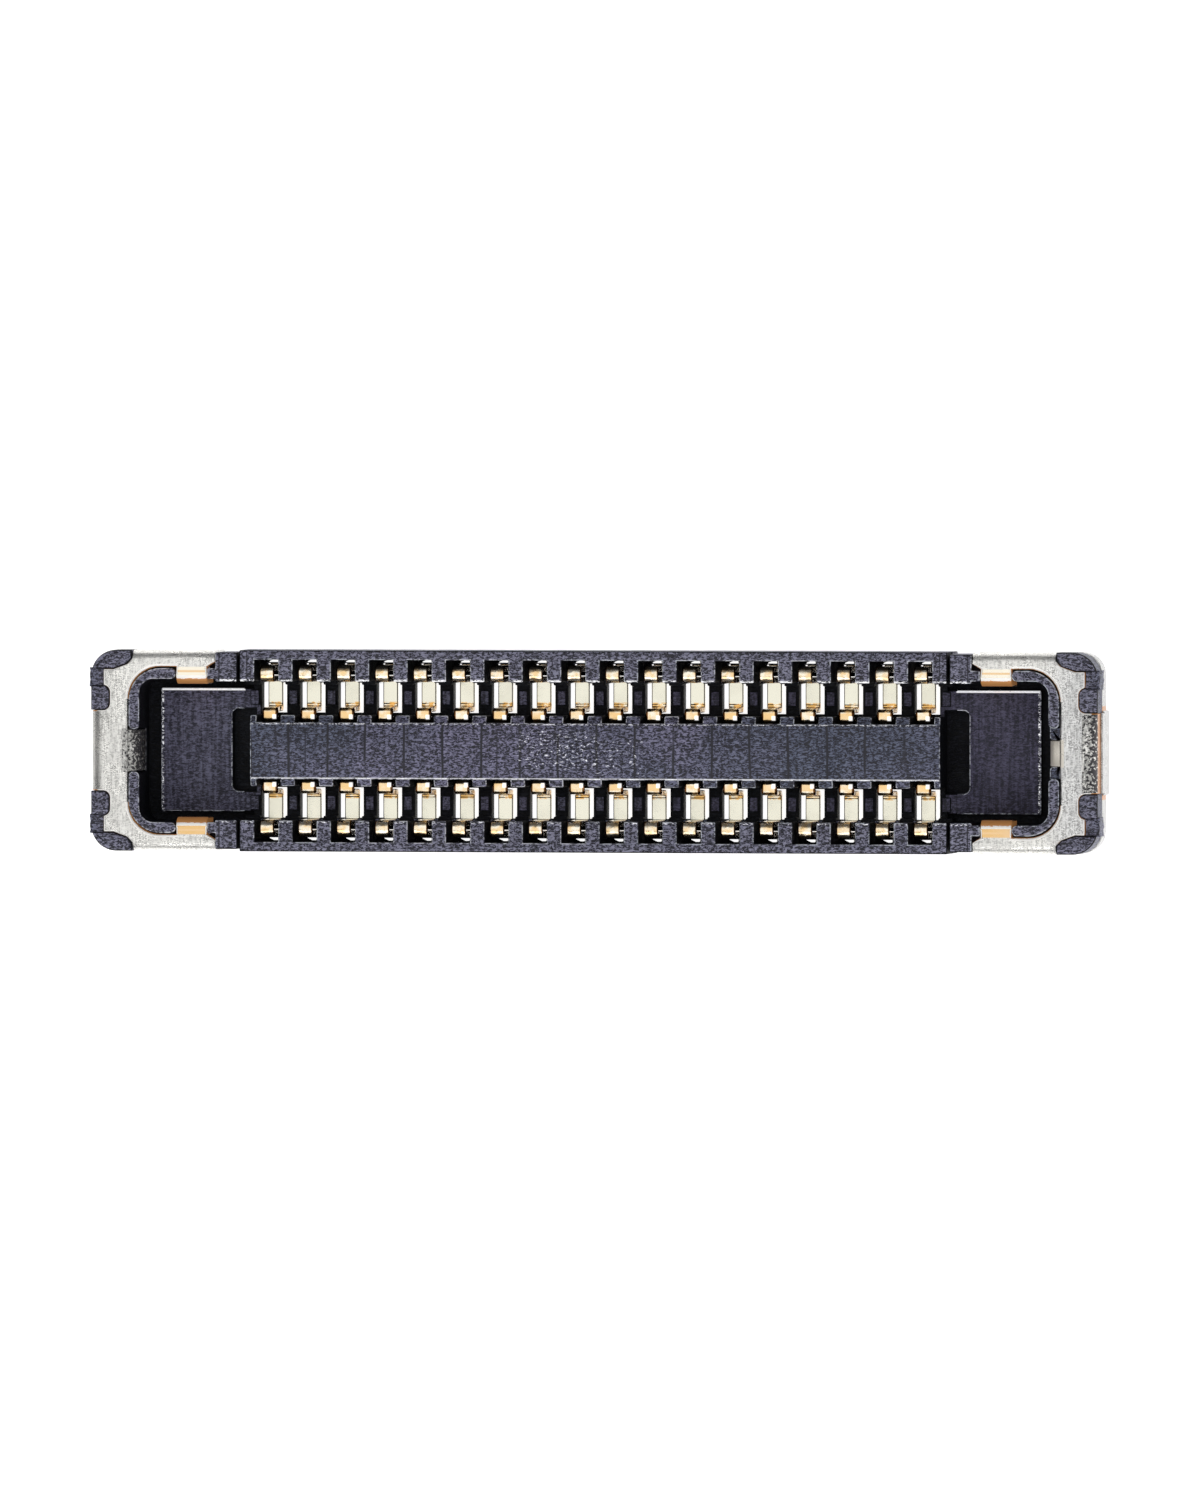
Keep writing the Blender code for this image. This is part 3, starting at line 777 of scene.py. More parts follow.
@dataclass
class Housing:
    """The dark moulding that carries every other piece."""

    layout: Layout
    corners: CornerPlastic
    window_width: float = 0.23
    window_setback: float = 0.016
    pocket_width: float = 0.22
    pocket_skin: float = 0.085
    pocket_floor: float = 0.12
    ledge_top: float = 0.27
    ledge_width: float = 0.035
    crest_rise: float = 0.014
    crest_length: float = 0.084
    crest_width: float = 0.138
    crest_offset: float = 0.002
    contact_width: float = 0.146
    leg_slot_end: float = 0.676
    leg_slot_start: float = 0.714
    leg_back: float = 0.78
    glint_slot: float = 0.03
    tail_top: float = 0.055
    notch_width: float = 0.22
    notch_depth: float = 0.065
    notch_sink: float = 0.02
    tooth: float = 0.075
    tooth_drop: float = 0.03
    side_moat_start: float = 0.02
    key_slot_width: float = 0.746
    key_slot_floor: float = 0.07
    key_slot_radius: float = 0.055
    moat_radius: float = 0.13
    rim_radius: float = 0.29
    stub_drop: float = 0.09
    stub_length: float = 0.11
    groove_depth: float = 0.25
    block_recess: float = 0.02
    rim_end_radius: float = 0.044
    stub_radius: float = 0.03
    soft_edge: float = 0.04
    # Slopes below which rounded faces take the painted shade, on the corner plastic and on the housing's own
    # edges.
    dark_slope: float = 0.6
    highlit_slope: float = 0.3
    edge_radius: float = 0.009
    edge_steps: int = 2
    end_steps: int = 14
    rim_steps: int = 4
    sharp_angle: float = 40
    smooth_angle: float = 32

    def rounded_end(self, name: str, x: Span, half: float, z: Span, radius: float) -> Piece:
        """Return a block across the part with its two far corners rounded.

        Args:
            name: The block's name.
            x: Its limits along X.
            half: Half of its width along Y.
            z: Its limits along Z.
            radius: The radius of its two far corners.

        Returns:
            The block.
        """
        shape = block(name, x, (-half, half), z)
        return round_edges(shape, far_uprights(x[1] - NEAR), radius, self.end_steps)

    def build(self, finishes: list[bpy.types.Material]) -> Piece:
        """Model the housing.

        Args:
            finishes: Its materials, in the order of the surfaces.

        Returns:
            The finished piece.
        """
        size = self.layout
        x = (-size.wall_end, size.wall_end)
        y = (-size.half_width, size.half_width)
        bar = block("housing_moulding", x, y, (size.standoff, size.height))
        for finish in finishes:
            bar.data.materials.append(finish)
        fuse(bar, *self.end_plastic())
        carve(bar, *self.cavities())
        fuse(bar, self.platforms(), self.island(), self.ledges(), self.crests())
        carve(bar, *self.end_cuts(), *self.contact_cuts())
        clean(bar)
        self.split_faces(bar)
        self.soften_rims(bar)
        self.round_all(bar)
        mouldings = self.corners.mouldings()
        for moulding in mouldings:
            moulding.data.materials.append(finishes[Surface.PLAIN])
            moulding.data.materials.append(finishes[Surface.SHADED])
            # Steep rounded faces along the top take the painted shade, a dark outline.
            for face in moulding.data.polygons:
                is_bevel = face.center.z > size.height - self.soft_edge and not face.normal.z < NEAR
                face.material_index = int(is_bevel and face.normal.z < self.dark_slope)
        bar = gathered([bar, *mouldings], bar.name)
        smooth(bar, self.smooth_angle)
        to_metres(bar)
        return bar

    def end_plastic(self) -> list[Piece]:
        """Return the plastic under the hold-downs and the raised end rims."""
        size = self.layout
        start = size.tab_start - size.end_block
        end = size.metal_end - size.plate - size.gap
        side = size.half_width - size.plate - size.gap
        radius = size.skirt_radius - size.plate - size.gap
        under_z = (size.standoff, size.plate_under - size.gap)
        under = self.rounded_end("end_body", (start, end), side, under_z, radius)
        rim_z = (size.moat_floor, size.height)
        rim = self.rounded_end("end_rim", (start, size.rim_end), size.rim_side, rim_z, self.rim_radius)
        return [at_both_ends(under), at_both_ends(rim)]

    def cavities(self) -> list[Piece]:
        """Return the open space between the walls and above the platforms."""
        size = self.layout
        reach = size.wall_end + self.corners.lap
        top = size.height + CUT_MARGIN
        y = (-size.wall_face, size.wall_face)
        channel = block("channel", (-reach, reach), y, (size.floor_top, top))
        x = (size.island_end + self.side_moat_start, reach)
        z = (size.moat_floor, size.floor_top + size.gap)
        fuse(channel, at_both_ends(block("side_moat", x, y, z)))
        x = (size.wall_end, size.cavity_end)
        end = self.rounded_end("cavity", x, size.cavity_side, (size.moat_floor, top), self.moat_radius)
        return [channel, at_both_ends(end)]

    def platforms(self) -> Piece:
        """Return the flat platforms inside the two end cavities."""
        size = self.layout
        x = (size.island_end + size.gap, size.platform_end)
        half = size.cavity_side - size.moat_side
        z = ((size.standoff + size.moat_floor) / 2, size.floor_top)
        return at_both_ends(block("platform", x, (-half, half), z))

    def island(self) -> Piece:
        """Return the centre island, with a shallow slope along each flank."""
        size = self.layout
        x = (-size.island_end, size.island_end)
        y = (-size.island_side, size.island_side)
        shape = block("island", x, y, (size.moat_floor, size.island_top))
        for side in SIDES:
            edge = (0, side * (size.island_side - self.tooth), size.island_top)
            trim(shape, edge, (0, side * self.tooth_drop, self.tooth))
        return shape

    def ledges(self) -> Piece:
        """Return the low ledges at the foot of the long walls."""
        size = self.layout
        x = (-size.groove_x, size.groove_x)
        y = (size.wall_face - self.ledge_width, size.wall_face + self.ledge_width)
        shape = block("ledge", x, y, (size.moat_floor, self.ledge_top))
        return scattered(shape, [flipped(1, side) for side in SIDES])

    def crests(self) -> Piece:
        """Return the low pads on the channel floor between the windows."""
        size = self.layout
        middle = (size.island_side + size.wall_face) / 2 + self.crest_offset
        y = (middle - self.crest_width / 2, middle + self.crest_width / 2)
        z = (size.moat_floor, size.floor_top + self.crest_rise)
        shape = block("crest", (-self.crest_length / 2, self.crest_length / 2), y, z)
        reach = size.contacts_per_row // 2
        places = [
            Matrix.Translation((index * size.pitch, 0, 0)) @ flipped(1, side)
            for index in range(-reach, reach + 1)
            for side in SIDES
        ]
        return scattered(shape, places)

    def end_cuts(self) -> list[Piece]:
        """Return everything that is cut at the two ends."""
        size = self.layout
        top = size.height + CUT_MARGIN
        x = (size.island_end, size.platform_start)
        z = (self.key_slot_floor, top)
        slot = self.rounded_end("key_slot", x, self.key_slot_width / 2, z, self.key_slot_radius)
        x = (size.groove_x, size.groove_x + size.end_groove)
        y = (size.wall_face - size.gap, size.half_width + CUT_MARGIN)
        groove = block("end_groove", x, y, (size.height - self.groove_depth, top))
        x = (size.groove_x + size.end_groove / 2, size.wall_end + size.gap)
        y = (size.half_width - self.block_recess, size.half_width + CUT_MARGIN)
        recess = block("end_recess", x, y, (0, top + CUT_MARGIN))
        back = size.cavity_side + size.plate / 2 + size.bend + size.gap
        x = (size.tab_start - size.gap, size.tab_end + size.gap)
        y = (size.cavity_side - size.gap, max(back, size.rim_side + size.gap))
        pocket = block("tab_pocket", x, y, (size.tab_bottom - size.gap, top))
        cuts = [at_both_ends(slot)]
        cuts += [at_all_corners(tool) for tool in (groove, recess, pocket)]
        return cuts + self.tongue_cuts()

    def tongue_cuts(self) -> list[Piece]:
        """Return the openings in the end rims for the centre tongues."""
        size = self.layout
        top = size.height + CUT_MARGIN
        back = size.cavity_end + size.plate / 2 + size.tongue_bend + size.gap
        cuts = []
        for end in End:
            half = size.tongue(end) / 2 + size.gap
            near = size.cavity_end - size.gap
            x = (end.value * near, end.value * max(back, size.rim_end + size.gap))
            cuts.append(block("tongue_cut", x, (-half, half), (size.tab_bottom - size.gap, top)))
        half = size.right_tongue / 2 + self.stub_length
        x = (size.cavity_end - size.gap, size.rim_end + size.gap)
        z = (size.height - self.stub_drop, top + CUT_MARGIN)
        cuts.append(block("stub_cut", x, (-half, half), z))
        return cuts

    def contact_cuts(self) -> list[Piece]:
        """Return every window, notch, pocket and slot of the two rows."""
        size = self.layout
        far = size.wall_face - self.window_setback
        near = size.island_side + self.window_setback
        back = size.half_width - self.pocket_skin
        foot = size.wall_face + self.window_setback
        top = size.height + CUT_MARGIN
        notch_floor = size.floor_top - self.notch_sink
        notch_y = (size.island_side - self.notch_depth, near + size.gap)
        mouth_y = (far - 3 * size.gap, foot + size.gap)
        mouth_z = (self.ledge_top - 2 * size.gap, top)
        glint_y = (back - self.glint_slot, back - size.gap)
        tail_y = (self.leg_back - size.gap, size.half_width + CUT_MARGIN)
        cuts = (
            ("window", self.window_width, (near, far), (0, size.floor_top + CUT_MARGIN)),
            ("notch", self.notch_width, notch_y, (notch_floor, size.height)),
            ("pocket", self.pocket_width, (foot, back), (self.pocket_floor, top)),
            ("mouth", self.pocket_width, mouth_y, mouth_z),
            ("inner_slot", self.contact_width, (far - size.gap, self.leg_slot_end), (0, self.ledge_top)),
            ("outer_slot", self.contact_width, (self.leg_slot_start, self.leg_back), (0, self.ledge_top)),
            ("glint_slot", self.contact_width, glint_y, (self.tail_top, self.pocket_floor + size.gap)),
            ("tail_slot", self.contact_width + size.gap, tail_y, (-size.gap, self.tail_top + size.gap)),
        )
        return [self.at_contacts(*cut) for cut in cuts]

    def at_contacts(self, name: str, width: float, y: Span, z: Span) -> Piece:
        """Return one block at the place of every contact.

        Args:
            name: The block's name.
            width: Its width along X.
            y: Its limits along Y at a rear contact.
            z: Its limits along Z.

        Returns:
            All the blocks as one object.
        """
        shape = block(name, (-width / 2, width / 2), y, z)
        spots = self.layout.contact_spots()
        return scattered(shape, [Matrix.Translation((x, 0, 0)) @ flipped(1, row) for x, row in spots])

    def split_faces(self, bar: Piece) -> None:
        """Divide the large flat faces through every opening, so that none has a hole."""
        size = self.layout
        middle = (size.island_end + size.platform_start) / 2
        planes = {x for x, _ in size.contact_spots()} | {-middle, middle}
        with editing(bar):
            for x in sorted(planes):
                bpy.ops.mesh.select_all(action="SELECT")
                bpy.ops.mesh.bisect(plane_co=(x, 0, 0), plane_no=(1, 0, 0))

    def soften_rims(self, bar: Piece) -> None:
        """Round the free ends of the rims beside the tabs and the tongues."""
        size = self.layout
        tab_x = size.tab_end + size.gap
        ends = {
            End.LEFT: size.tongue(End.LEFT) / 2 + size.gap,
            End.RIGHT: size.right_tongue / 2 + self.stub_length,
        }

        def is_rim_end(edge: bmesh.types.BMEdge) -> bool:
            """Tell whether an edge stands at the free end of a rim."""
            low, high = sorted((vert.co for vert in edge.verts), key=lambda spot: spot.z)
            if not is_upright(edge) or high.z < size.height - NEAR:
                return False
            beside_tab = abs(abs(high.x) - tab_x) < NEAR and abs(high.y) > size.cavity_side - NEAR
            end = End.LEFT if high.x < 0 else End.RIGHT
            at_end = abs(high.x) > size.cavity_end - NEAR
            return beside_tab or (at_end and abs(abs(high.y) - ends[end]) < NEAR)

        def is_stub_end(edge: bmesh.types.BMEdge) -> bool:
            """Tell whether an edge stands at the end of a low stub."""
            spot = edge.verts[0].co
            top = max(vert.co.z for vert in edge.verts)
            at_top = abs(top - size.height + self.stub_drop) < NEAR
            beside = abs(abs(spot.y) - size.right_tongue / 2 - size.gap) < NEAR
            return is_upright(edge) and at_top and beside and spot.x > size.cavity_end - NEAR

        round_edges(bar, is_rim_end, self.rim_end_radius, self.rim_steps)
        round_edges(bar, is_stub_end, self.stub_radius, self.rim_steps)

    def round_all(self, bar: Piece) -> None:
        """Round every sharp outer edge and give each face its slot, among them the painted highlight and the
        painted shade.
        """
        # The rounded edges start in the painted-highlight slot.
        round_edges(bar, sharper_than(self.sharp_angle), self.edge_radius, self.edge_steps, Surface.HIGHLIT)
        with editing(bar, "FACE") as shape:
            for face in shape.faces:
                face.material_index = self.surface_of(face)
            bmesh.update_edit_mesh(bar.data)

    def surface_of(self, face: bmesh.types.BMFace) -> Surface:
        """Return the slot of one face from its place and its slope: plain plastic, painted highlight, painted
        shade or the darker painted-shade copy.

        Args:
            face: A face, whose slot tells whether it is a rounded edge.

        Returns:
            The slot.
        """
        size = self.layout
        spot = face.calc_center_median()
        x, y = abs(spot.x), abs(spot.y)
        is_outside = y > size.half_width - 2 * self.block_recess or x > size.opening_end
        is_flat = face.normal.z > FLAT
        # A rounded edge keeps its painted highlight unless it lies outside, at a groove, deep or steep, where
        # it takes the painted shade.
        if face.material_index == Surface.HIGHLIT:
            at_groove = abs(x - size.groove_x - size.end_groove / 2) < size.end_groove
            is_deep = x < size.island_end + self.crest_length and spot.z < self.ledge_top
            is_dark = is_outside or at_groove or is_deep or face.normal.z < self.highlit_slope
            return Surface.SHADED if is_dark else Surface.HIGHLIT
        # Steep faces inside take the painted shade.
        if not is_flat:
            return Surface.PLAIN if is_outside or face.normal.z < -FLAT else Surface.SHADED
        in_channel = x < size.island_end - NEAR and y > size.island_side - self.notch_depth
        in_groove = x > size.wall_end and size.floor_top + size.gap < spot.z < size.plate_under
        low_level = (self.ledge_top + size.floor_top) / 2 if in_channel else size.floor_top - size.gap
        is_low = spot.z < low_level
        is_crest = abs(spot.z - size.floor_top - self.crest_rise) < NEAR
        on_ledge = abs(spot.z - self.ledge_top) < NEAR
        # Platforms and crests take the darker painted-shade copy; low floors, grooves and ledges the painted
        # shade.
        if is_crest or (not in_channel and abs(spot.z - size.floor_top) < NEAR):
            return Surface.LOW
        return Surface.SHADED if is_low or in_groove or on_ledge else Surface.PLAIN


@dataclass
class HoldDown:
    """The formed metal cap of one end."""

    layout: Layout
    corners: CornerPlastic
    end: End
    shoulder: float = 0.095
    relief: float = 0.06
    side_foot: float = 0.50
    foot_lap: float = 0.015
    foot_bulge: float = 0.02
    foot_height: float = 0.40
    opening_radius: float = 0.29
    tip_slant: float = 0.05
    tab_reach: float = 0.045
    lead_in: float = 0.038
    rolled_edge: float = 0.026
    edge_radius: float = 0.008
    bend_steps: int = 16
    shoulder_steps: int = 8
    foot_share: float = 0.9
    foot_steps: int = 5
    roll_steps: int = 3
    edge_steps: int = 2
    curl_steps: int = 10
    edge_slope: float = 0.985
    sharp_angle: float = 40
    smooth_angle: float = 35

    def build(self) -> Piece:
        """Model the cap at the right end, then mirror it if it is the left.

        Returns:
            The finished piece, with its raw edges in its second slot.
        """
        metal = self.shell()
        fuse(metal, self.foot())
        carve(metal, *self.cuts())
        fuse(metal, self.tabs(), self.tongue())
        clean(metal)
        self.roll_edges(metal)
        round_edges(metal, sharper_than(self.sharp_angle), self.edge_radius, self.edge_steps)
        self.mark_raw_edges(metal)
        name = f"hold_down_{self.end.name.lower()}_sheet"
        placed = placed_copy(metal, flipped(self.end.value), name)
        bpy.data.objects.remove(metal)
        clean_normals(placed)
        smooth(placed, self.smooth_angle)
        to_metres(placed)
        return placed

    def roll_edges(self, metal: Piece) -> None:
        """Round the upper edge of the plate all round its opening."""
        size = self.layout
        side = size.opening_side + self.tip_slant + size.gap

        def is_rim(edge: bmesh.types.BMEdge) -> bool:
            """Tell whether an edge is on the outline of the opening."""
            at_top = all(abs(vert.co.z - size.plate_top) < NEAR for vert in edge.verts)
            middle = (edge.verts[0].co + edge.verts[1].co) / 2
            is_near = middle.x < size.opening_end + size.gap and abs(middle.y) < side
            is_cut = any(abs(face.normal.z) < FLAT for face in edge.link_faces)
            return at_top and is_near and is_cut and middle.x > size.wall_end + 2 * size.gap

        round_edges(metal, is_rim, self.rolled_edge, self.roll_steps)

    def mark_raw_edges(self, metal: Piece) -> None:
        """Give the stamped edges round the openings the second slot."""
        size = self.layout
        metal.data.materials.append(None)
        metal.data.materials.append(None)
        with editing(metal, "FACE") as shape:
            for face in shape.faces:
                spot = face.calc_center_median()
                across = abs(spot.y)
                is_edge = abs(face.normal.z) < self.edge_slope and spot.z > size.plate_under - size.gap
                is_inside = across < size.half_width - self.shoulder and spot.x < size.metal_end - size.gap
                at_tongue = across < size.tongue(self.end) / 2 + size.gap
                face.material_index = int(is_edge and is_inside and not at_tongue)
            bmesh.update_edit_mesh(metal.data)

    def shell(self) -> Piece:
        """Return the cap as a bent sheet of even thickness."""
        size = self.layout
        near = size.wall_end + size.gap
        half = size.half_width
        shape = block("cap", (near, size.metal_end), (-half, half), (0, size.plate_top))
        round_edges(shape, far_uprights(size.metal_end - NEAR), size.skirt_radius, self.bend_steps)
        round_edges(shape, top_edges(size.plate_top, near), self.shoulder, self.shoulder_steps)
        with editing(shape, "FACE") as mesh:
            for face in mesh.faces:
                middle = face.calc_center_median()
                face.select_set(middle.z < NEAR or middle.x < near + NEAR)
            bmesh.update_edit_mesh(shape.data)
            bpy.ops.mesh.delete(type="FACE")
        return apply(shape, "SOLIDIFY", thickness=size.plate, offset=-1.0, use_even_offset=True)

    def foot(self) -> Piece:
        """Return the solder foot in the middle of the end."""
        size = self.layout
        half = self.corners.gate_inner - self.corners.lug_width + self.foot_lap
        x = (size.metal_end - size.plate, size.metal_end + self.foot_bulge)
        shape = block("foot", x, (-half, half), (0, self.foot_height))
        radius = self.foot_bulge * self.foot_share
        return round_edges(shape, far_uprights(x[1] - NEAR), radius, self.foot_steps)

    def cuts(self) -> list[Piece]:
        """Return the plate's opening, the slanted tips, windows and reliefs."""
        size = self.layout
        top = size.height + CUT_MARGIN
        start = size.wall_end - CUT_MARGIN
        x = (start, size.opening_end - self.lead_in)
        opening = block("opening", x, (-size.opening_side, size.opening_side), (size.floor_top, top))
        round_edges(opening, far_uprights(x[1] - NEAR), self.opening_radius, self.bend_steps)
        slant = size.opening_side + self.tip_slant
        tip = block("tip", (start, size.tab_start), (size.cavity_side, slant), (size.floor_top, top))
        trim(tip, (size.tab_start, size.opening_side, 0), (self.tip_slant, size.end_foot, 0))
        foot_start = size.tab_start + size.end_foot
        foot_end = foot_start + self.side_foot
        reach = size.half_width + CUT_MARGIN
        inner = size.half_width - size.plate - CUT_MARGIN
        far = size.metal_end + CUT_MARGIN
        deep = size.metal_end - size.plate - CUT_MARGIN
        half = self.corners.gate_inner - self.corners.lug_width + self.foot_lap
        low = (-CUT_MARGIN, self.relief)
        near_relief = block("relief", (start, foot_start), (inner, reach), low)
        side_relief = block("relief", (foot_end, far), (inner, reach), low)
        end_relief = block("relief", (deep, far), (half, inner + size.gap), low)
        tools = [opening]
        for tool in (tip, near_relief, side_relief, end_relief):
            tools.append(scattered(tool, [flipped(1, side) for side in SIDES]))
        return tools + self.corners.windows()

    def lip(self, width: float, inner: float, start: float, bend: float) -> Piece:
        """Return a lip that leaves the plate, curls over and points down.

        Args:
            width: The lip's width along X.
            inner: Y of the face that it shows to the cavity.
            start: Y inside the plate where it begins.
            bend: The curl's radius at the middle of the sheet.

        Returns:
            The lip, about X = 0.
        """
        size = self.layout
        level = size.plate_top - size.plate / 2
        leg = inner + size.plate / 2
        run = start - leg - bend
        strip = StripFormer("lip", (start, level), 0.0, width, run)
        strip.bend(-90, bend, self.curl_steps)
        strip.straight(level - bend - size.tab_bottom)
        return strip.finish(size.plate)

    def tabs(self) -> Piece:
        """Return the two curled tabs at the arms."""
        size = self.layout
        start = size.opening_side + self.tip_slant
        lip = self.lip(size.tab, size.cavity_side - self.tab_reach, start, size.bend)
        middle = (size.tab_start + size.tab_end) / 2
        places = [flipped(1, side) @ Matrix.Translation((middle, 0, 0)) for side in SIDES]
        return scattered(lip, places)

    def tongue(self) -> Piece:
        """Return the centre tongue at the end."""
        size = self.layout
        start = size.opening_end + self.tip_slant
        lip = self.lip(size.tongue(self.end), size.cavity_end, start, size.tongue_bend)
        return scattered(lip, [Matrix.Rotation(math.radians(-90), 4, "Z")])


@dataclass
class SpringContact:
    """One stamped and folded contact strip."""

    layout: Layout
    thickness: float = 0.05
    tail_width: float = 0.12
    leg_width: float = 0.126
    base_width: float = 0.134
    arm_width: float = 0.10
    tip_width: float = 0.142
    tail_setback: float = 0.012
    leg_setback: float = 0.16
    leg_spacing: float = 0.10
    leg_drop: float = 0.03
    base_top: float = 0.11
    arm_root_gap: float = 0.030
    tail_bend: float = 0.03
    base_bend: float = 0.03
    arm_lean: float = 87.5
    tip_fold: float = 0.039
    tip_drop: float = 0.185
    tip_length: float = 0.045
    tip_radius: float = 0.020
    coin_depth: float = 0.010
    edge_radius: float = 0.009
    arm_taper: float = 0.25
    arm_flare: float = 0.15
    tail_steps: int = 4
    bend_steps: int = 5
    fold_steps: int = 10
    tip_steps: int = 4
    edge_steps: int = 3
    tip_angle: float = 1.0
    sharp_angle: float = 50
    smooth_angle: float = 40

    def build(self, finishes: list[bpy.types.Material]) -> Piece:
        """Form one rear contact at X = 0, from its tail to its spring tip.

        Args:
            finishes: The gold of its faces and its darker painted-shade copy for its rounded edges.

        Returns:
            The finished strip.
        """
        size = self.layout
        half = self.thickness / 2
        leg = size.half_width - self.leg_setback
        leg_top = size.height - self.leg_drop - half
        fold = self.leg_spacing / 2
        base = self.base_top - half
        start = size.half_width - self.tail_setback
        root = size.island_side + self.arm_root_gap + half
        lean = math.radians(self.arm_lean)
        setback = self.base_bend * math.tan(lean / 2)
        tip_top = size.height - self.tip_drop
        tip_z = tip_top + self.coin_depth - half - self.tip_fold * (1 - math.cos(lean))
        arm = (tip_z - base) / math.sin(lean) - setback
        strip = StripFormer("contact", (start, half), 0.0, self.tail_width, start - leg - self.tail_bend)
        strip.bend(90, self.tail_bend, self.tail_steps)
        strip.straight(leg_top - fold - half - self.tail_bend, self.leg_width)
        strip.bend(-180, fold, self.fold_steps)
        strip.straight(leg_top - fold - base - self.base_bend, self.base_width)
        strip.bend(90, self.base_bend, self.bend_steps)
        strip.straight(leg - self.leg_spacing - self.base_bend - root - setback)
        strip.bend(self.arm_lean, self.base_bend, self.bend_steps)
        strip.straight(arm * self.arm_taper, self.arm_width)
        strip.straight(arm * (1.0 - self.arm_taper - self.arm_flare))
        strip.straight(arm * self.arm_flare, self.tip_width)
        strip.bend(-90 - self.arm_lean, self.tip_fold, self.fold_steps)
        strip.straight(self.tip_length)
        piece = strip.finish(self.thickness)
        for finish in finishes:
            piece.data.materials.append(finish)
        y = (0, root + 2 * self.thickness)
        carve(piece, block("coin", (-size.wall, size.wall), y, (tip_top, size.height)))

        def is_tip_side(edge: bmesh.types.BMEdge) -> bool:
            """Tell whether an edge is on the outline of the tip's two sides."""
            at_tip = all(vert.co.z > tip_z and vert.co.y < root + self.thickness for vert in edge.verts)
            return at_tip and edge.calc_face_angle(0.0) > self.tip_angle

        # The rounded edges take the second slot, the painted-shade outline.
        round_edges(piece, is_tip_side, self.tip_radius, self.tip_steps, material=1)
        round_edges(piece, sharper_than(self.sharp_angle), self.edge_radius, self.edge_steps, material=1)
        smooth(piece, self.smooth_angle)
        to_metres(piece)
        return piece

    def place_all(self, finishes: list[bpy.types.Material]) -> None:
        """Set a copy of the strip, with its own mesh, at every place of both rows.

        Args:
            finishes: The gold of its faces and its darker painted-shade copy for its rounded edges.
        """
        master = self.build(finishes)
        for row in Row:
            for index in range(self.layout.contacts_per_row):
                x = (index * self.layout.pitch - self.layout.half_row) * MILLIMETRE
                turn = Matrix.Rotation(0.0 if row is Row.REAR else math.pi, 4, "Z")
                node = f"contact_{row.name.lower()}_{index + 1:02d}"
                piece = placed_copy(master, Matrix.Translation((x, 0, 0)) @ turn, f"{node}_strip")
                dress(piece, node, "gold_plating", *finishes)
        bpy.data.objects.remove(master)


class NodeBench:
    """Adds and joins shader nodes in one node tree."""

    def __init__(self, tree: bpy.types.NodeTree) -> None:
        """Clear the tree and keep it."""
        self.tree = tree
        self.tree.nodes.clear()

    def add(
        self, kind: str, inputs: dict[str | int, object] | None = None, **settings: object
    ) -> bpy.types.Node:
        """Add one node.

        Args:
            kind: Blender's name of the node's type.
            inputs: Values or output sockets for the node's inputs.
            **settings: Values of the node's own properties.

        Returns:
            The new node.
        """
        node = self.tree.nodes.new(kind)
        for name, value in settings.items():
            setattr(node, name, value)
        for name, value in (inputs or {}).items():
            if isinstance(value, Socket):
                self.tree.links.new(value, node.inputs[name])
            else:
                node.inputs[name].default_value = value
        return node

    def noise(self, vector: Socket, scale: object, detail: float = 2.0) -> Socket:
        """Return the value of a noise pattern."""
        inputs = {"Vector": vector, "Scale": scale, "Detail": detail}
        return self.add("ShaderNodeTexNoise", inputs).outputs[0]

    def stretched(self, vector: Socket, scale: Spot) -> Socket:
        """Return coordinates multiplied along each axis."""
        return self.add("ShaderNodeMapping", {"Vector": vector, "Scale": scale}).outputs[0]

    def parts(self, vector: Socket) -> bpy.types.NodeOutputs:
        """Return the three coordinates of a vector."""
        return self.add("ShaderNodeSeparateXYZ", {0: vector}).outputs

    def ramp(self, value: Socket, low: float, high: float) -> Socket:
        """Return a value spread from 0 at one level to 1 at another."""
        settings = {"Value": value, "From Min": low, "From Max": high}
        return self.add("ShaderNodeMapRange", settings, interpolation_type="SMOOTHSTEP").outputs[0]

    def math(self, operation: str, first: object, second: object = 0.0) -> Socket:
        """Return the result of one sum."""
        return self.add("ShaderNodeMath", {0: first, 1: second}, operation=operation).outputs[0]

    def times(self, *values: object) -> Socket:
        """Return the product of several values."""
        return reduce(lambda first, second: self.math("MULTIPLY", first, second), values)

    def most(self, *values: object) -> Socket:
        """Return the highest of several values."""
        return reduce(lambda first, second: self.math("MAXIMUM", first, second), values)

    def mix(self, factor: object, first: object, second: object) -> Socket:
        """Return a mix of two colours."""
        inputs = {"Factor": factor, 6: first, 7: second}
        return self.add("ShaderNodeMix", inputs, data_type="RGBA").outputs[2]

    def between(self, factor: object, first: object, second: object) -> Socket:
        """Return a mix of two numbers."""
        return self.add("ShaderNodeMix", {0: factor, 2: first, 3: second}, data_type="FLOAT").outputs[0]

    def zone(self, *limits: tuple[Socket, float, float]) -> Socket:
        """Return a mask that is 1 where every value is between its two limits.

        Args:
            *limits: A value with its lowest and its highest level.

        Returns:
            The mask, with a soft edge.
        """
        masks = []
        for value, low, high in limits:
            masks.append(self.ramp(value, low - ZONE_EDGE, low + ZONE_EDGE))
            masks.append(self.ramp(value, high + ZONE_EDGE, high - ZONE_EDGE))
        return self.times(*masks)

    def bump(self, height: Socket, distance: float) -> Socket:
        """Return the normal of a raised pattern."""
        return self.add("ShaderNodeBump", {"Height": height, "Distance": distance}).outputs[0]

    def surface(self, **inputs: object) -> None:
        """Add the shader and the output, with the shader's inputs by name."""
        named = {name.replace("_", " "): value for name, value in inputs.items()}
        shader = self.add("ShaderNodeBsdfPrincipled", named)
        self.add("ShaderNodeOutputMaterial", {"Surface": shader.outputs[0]})


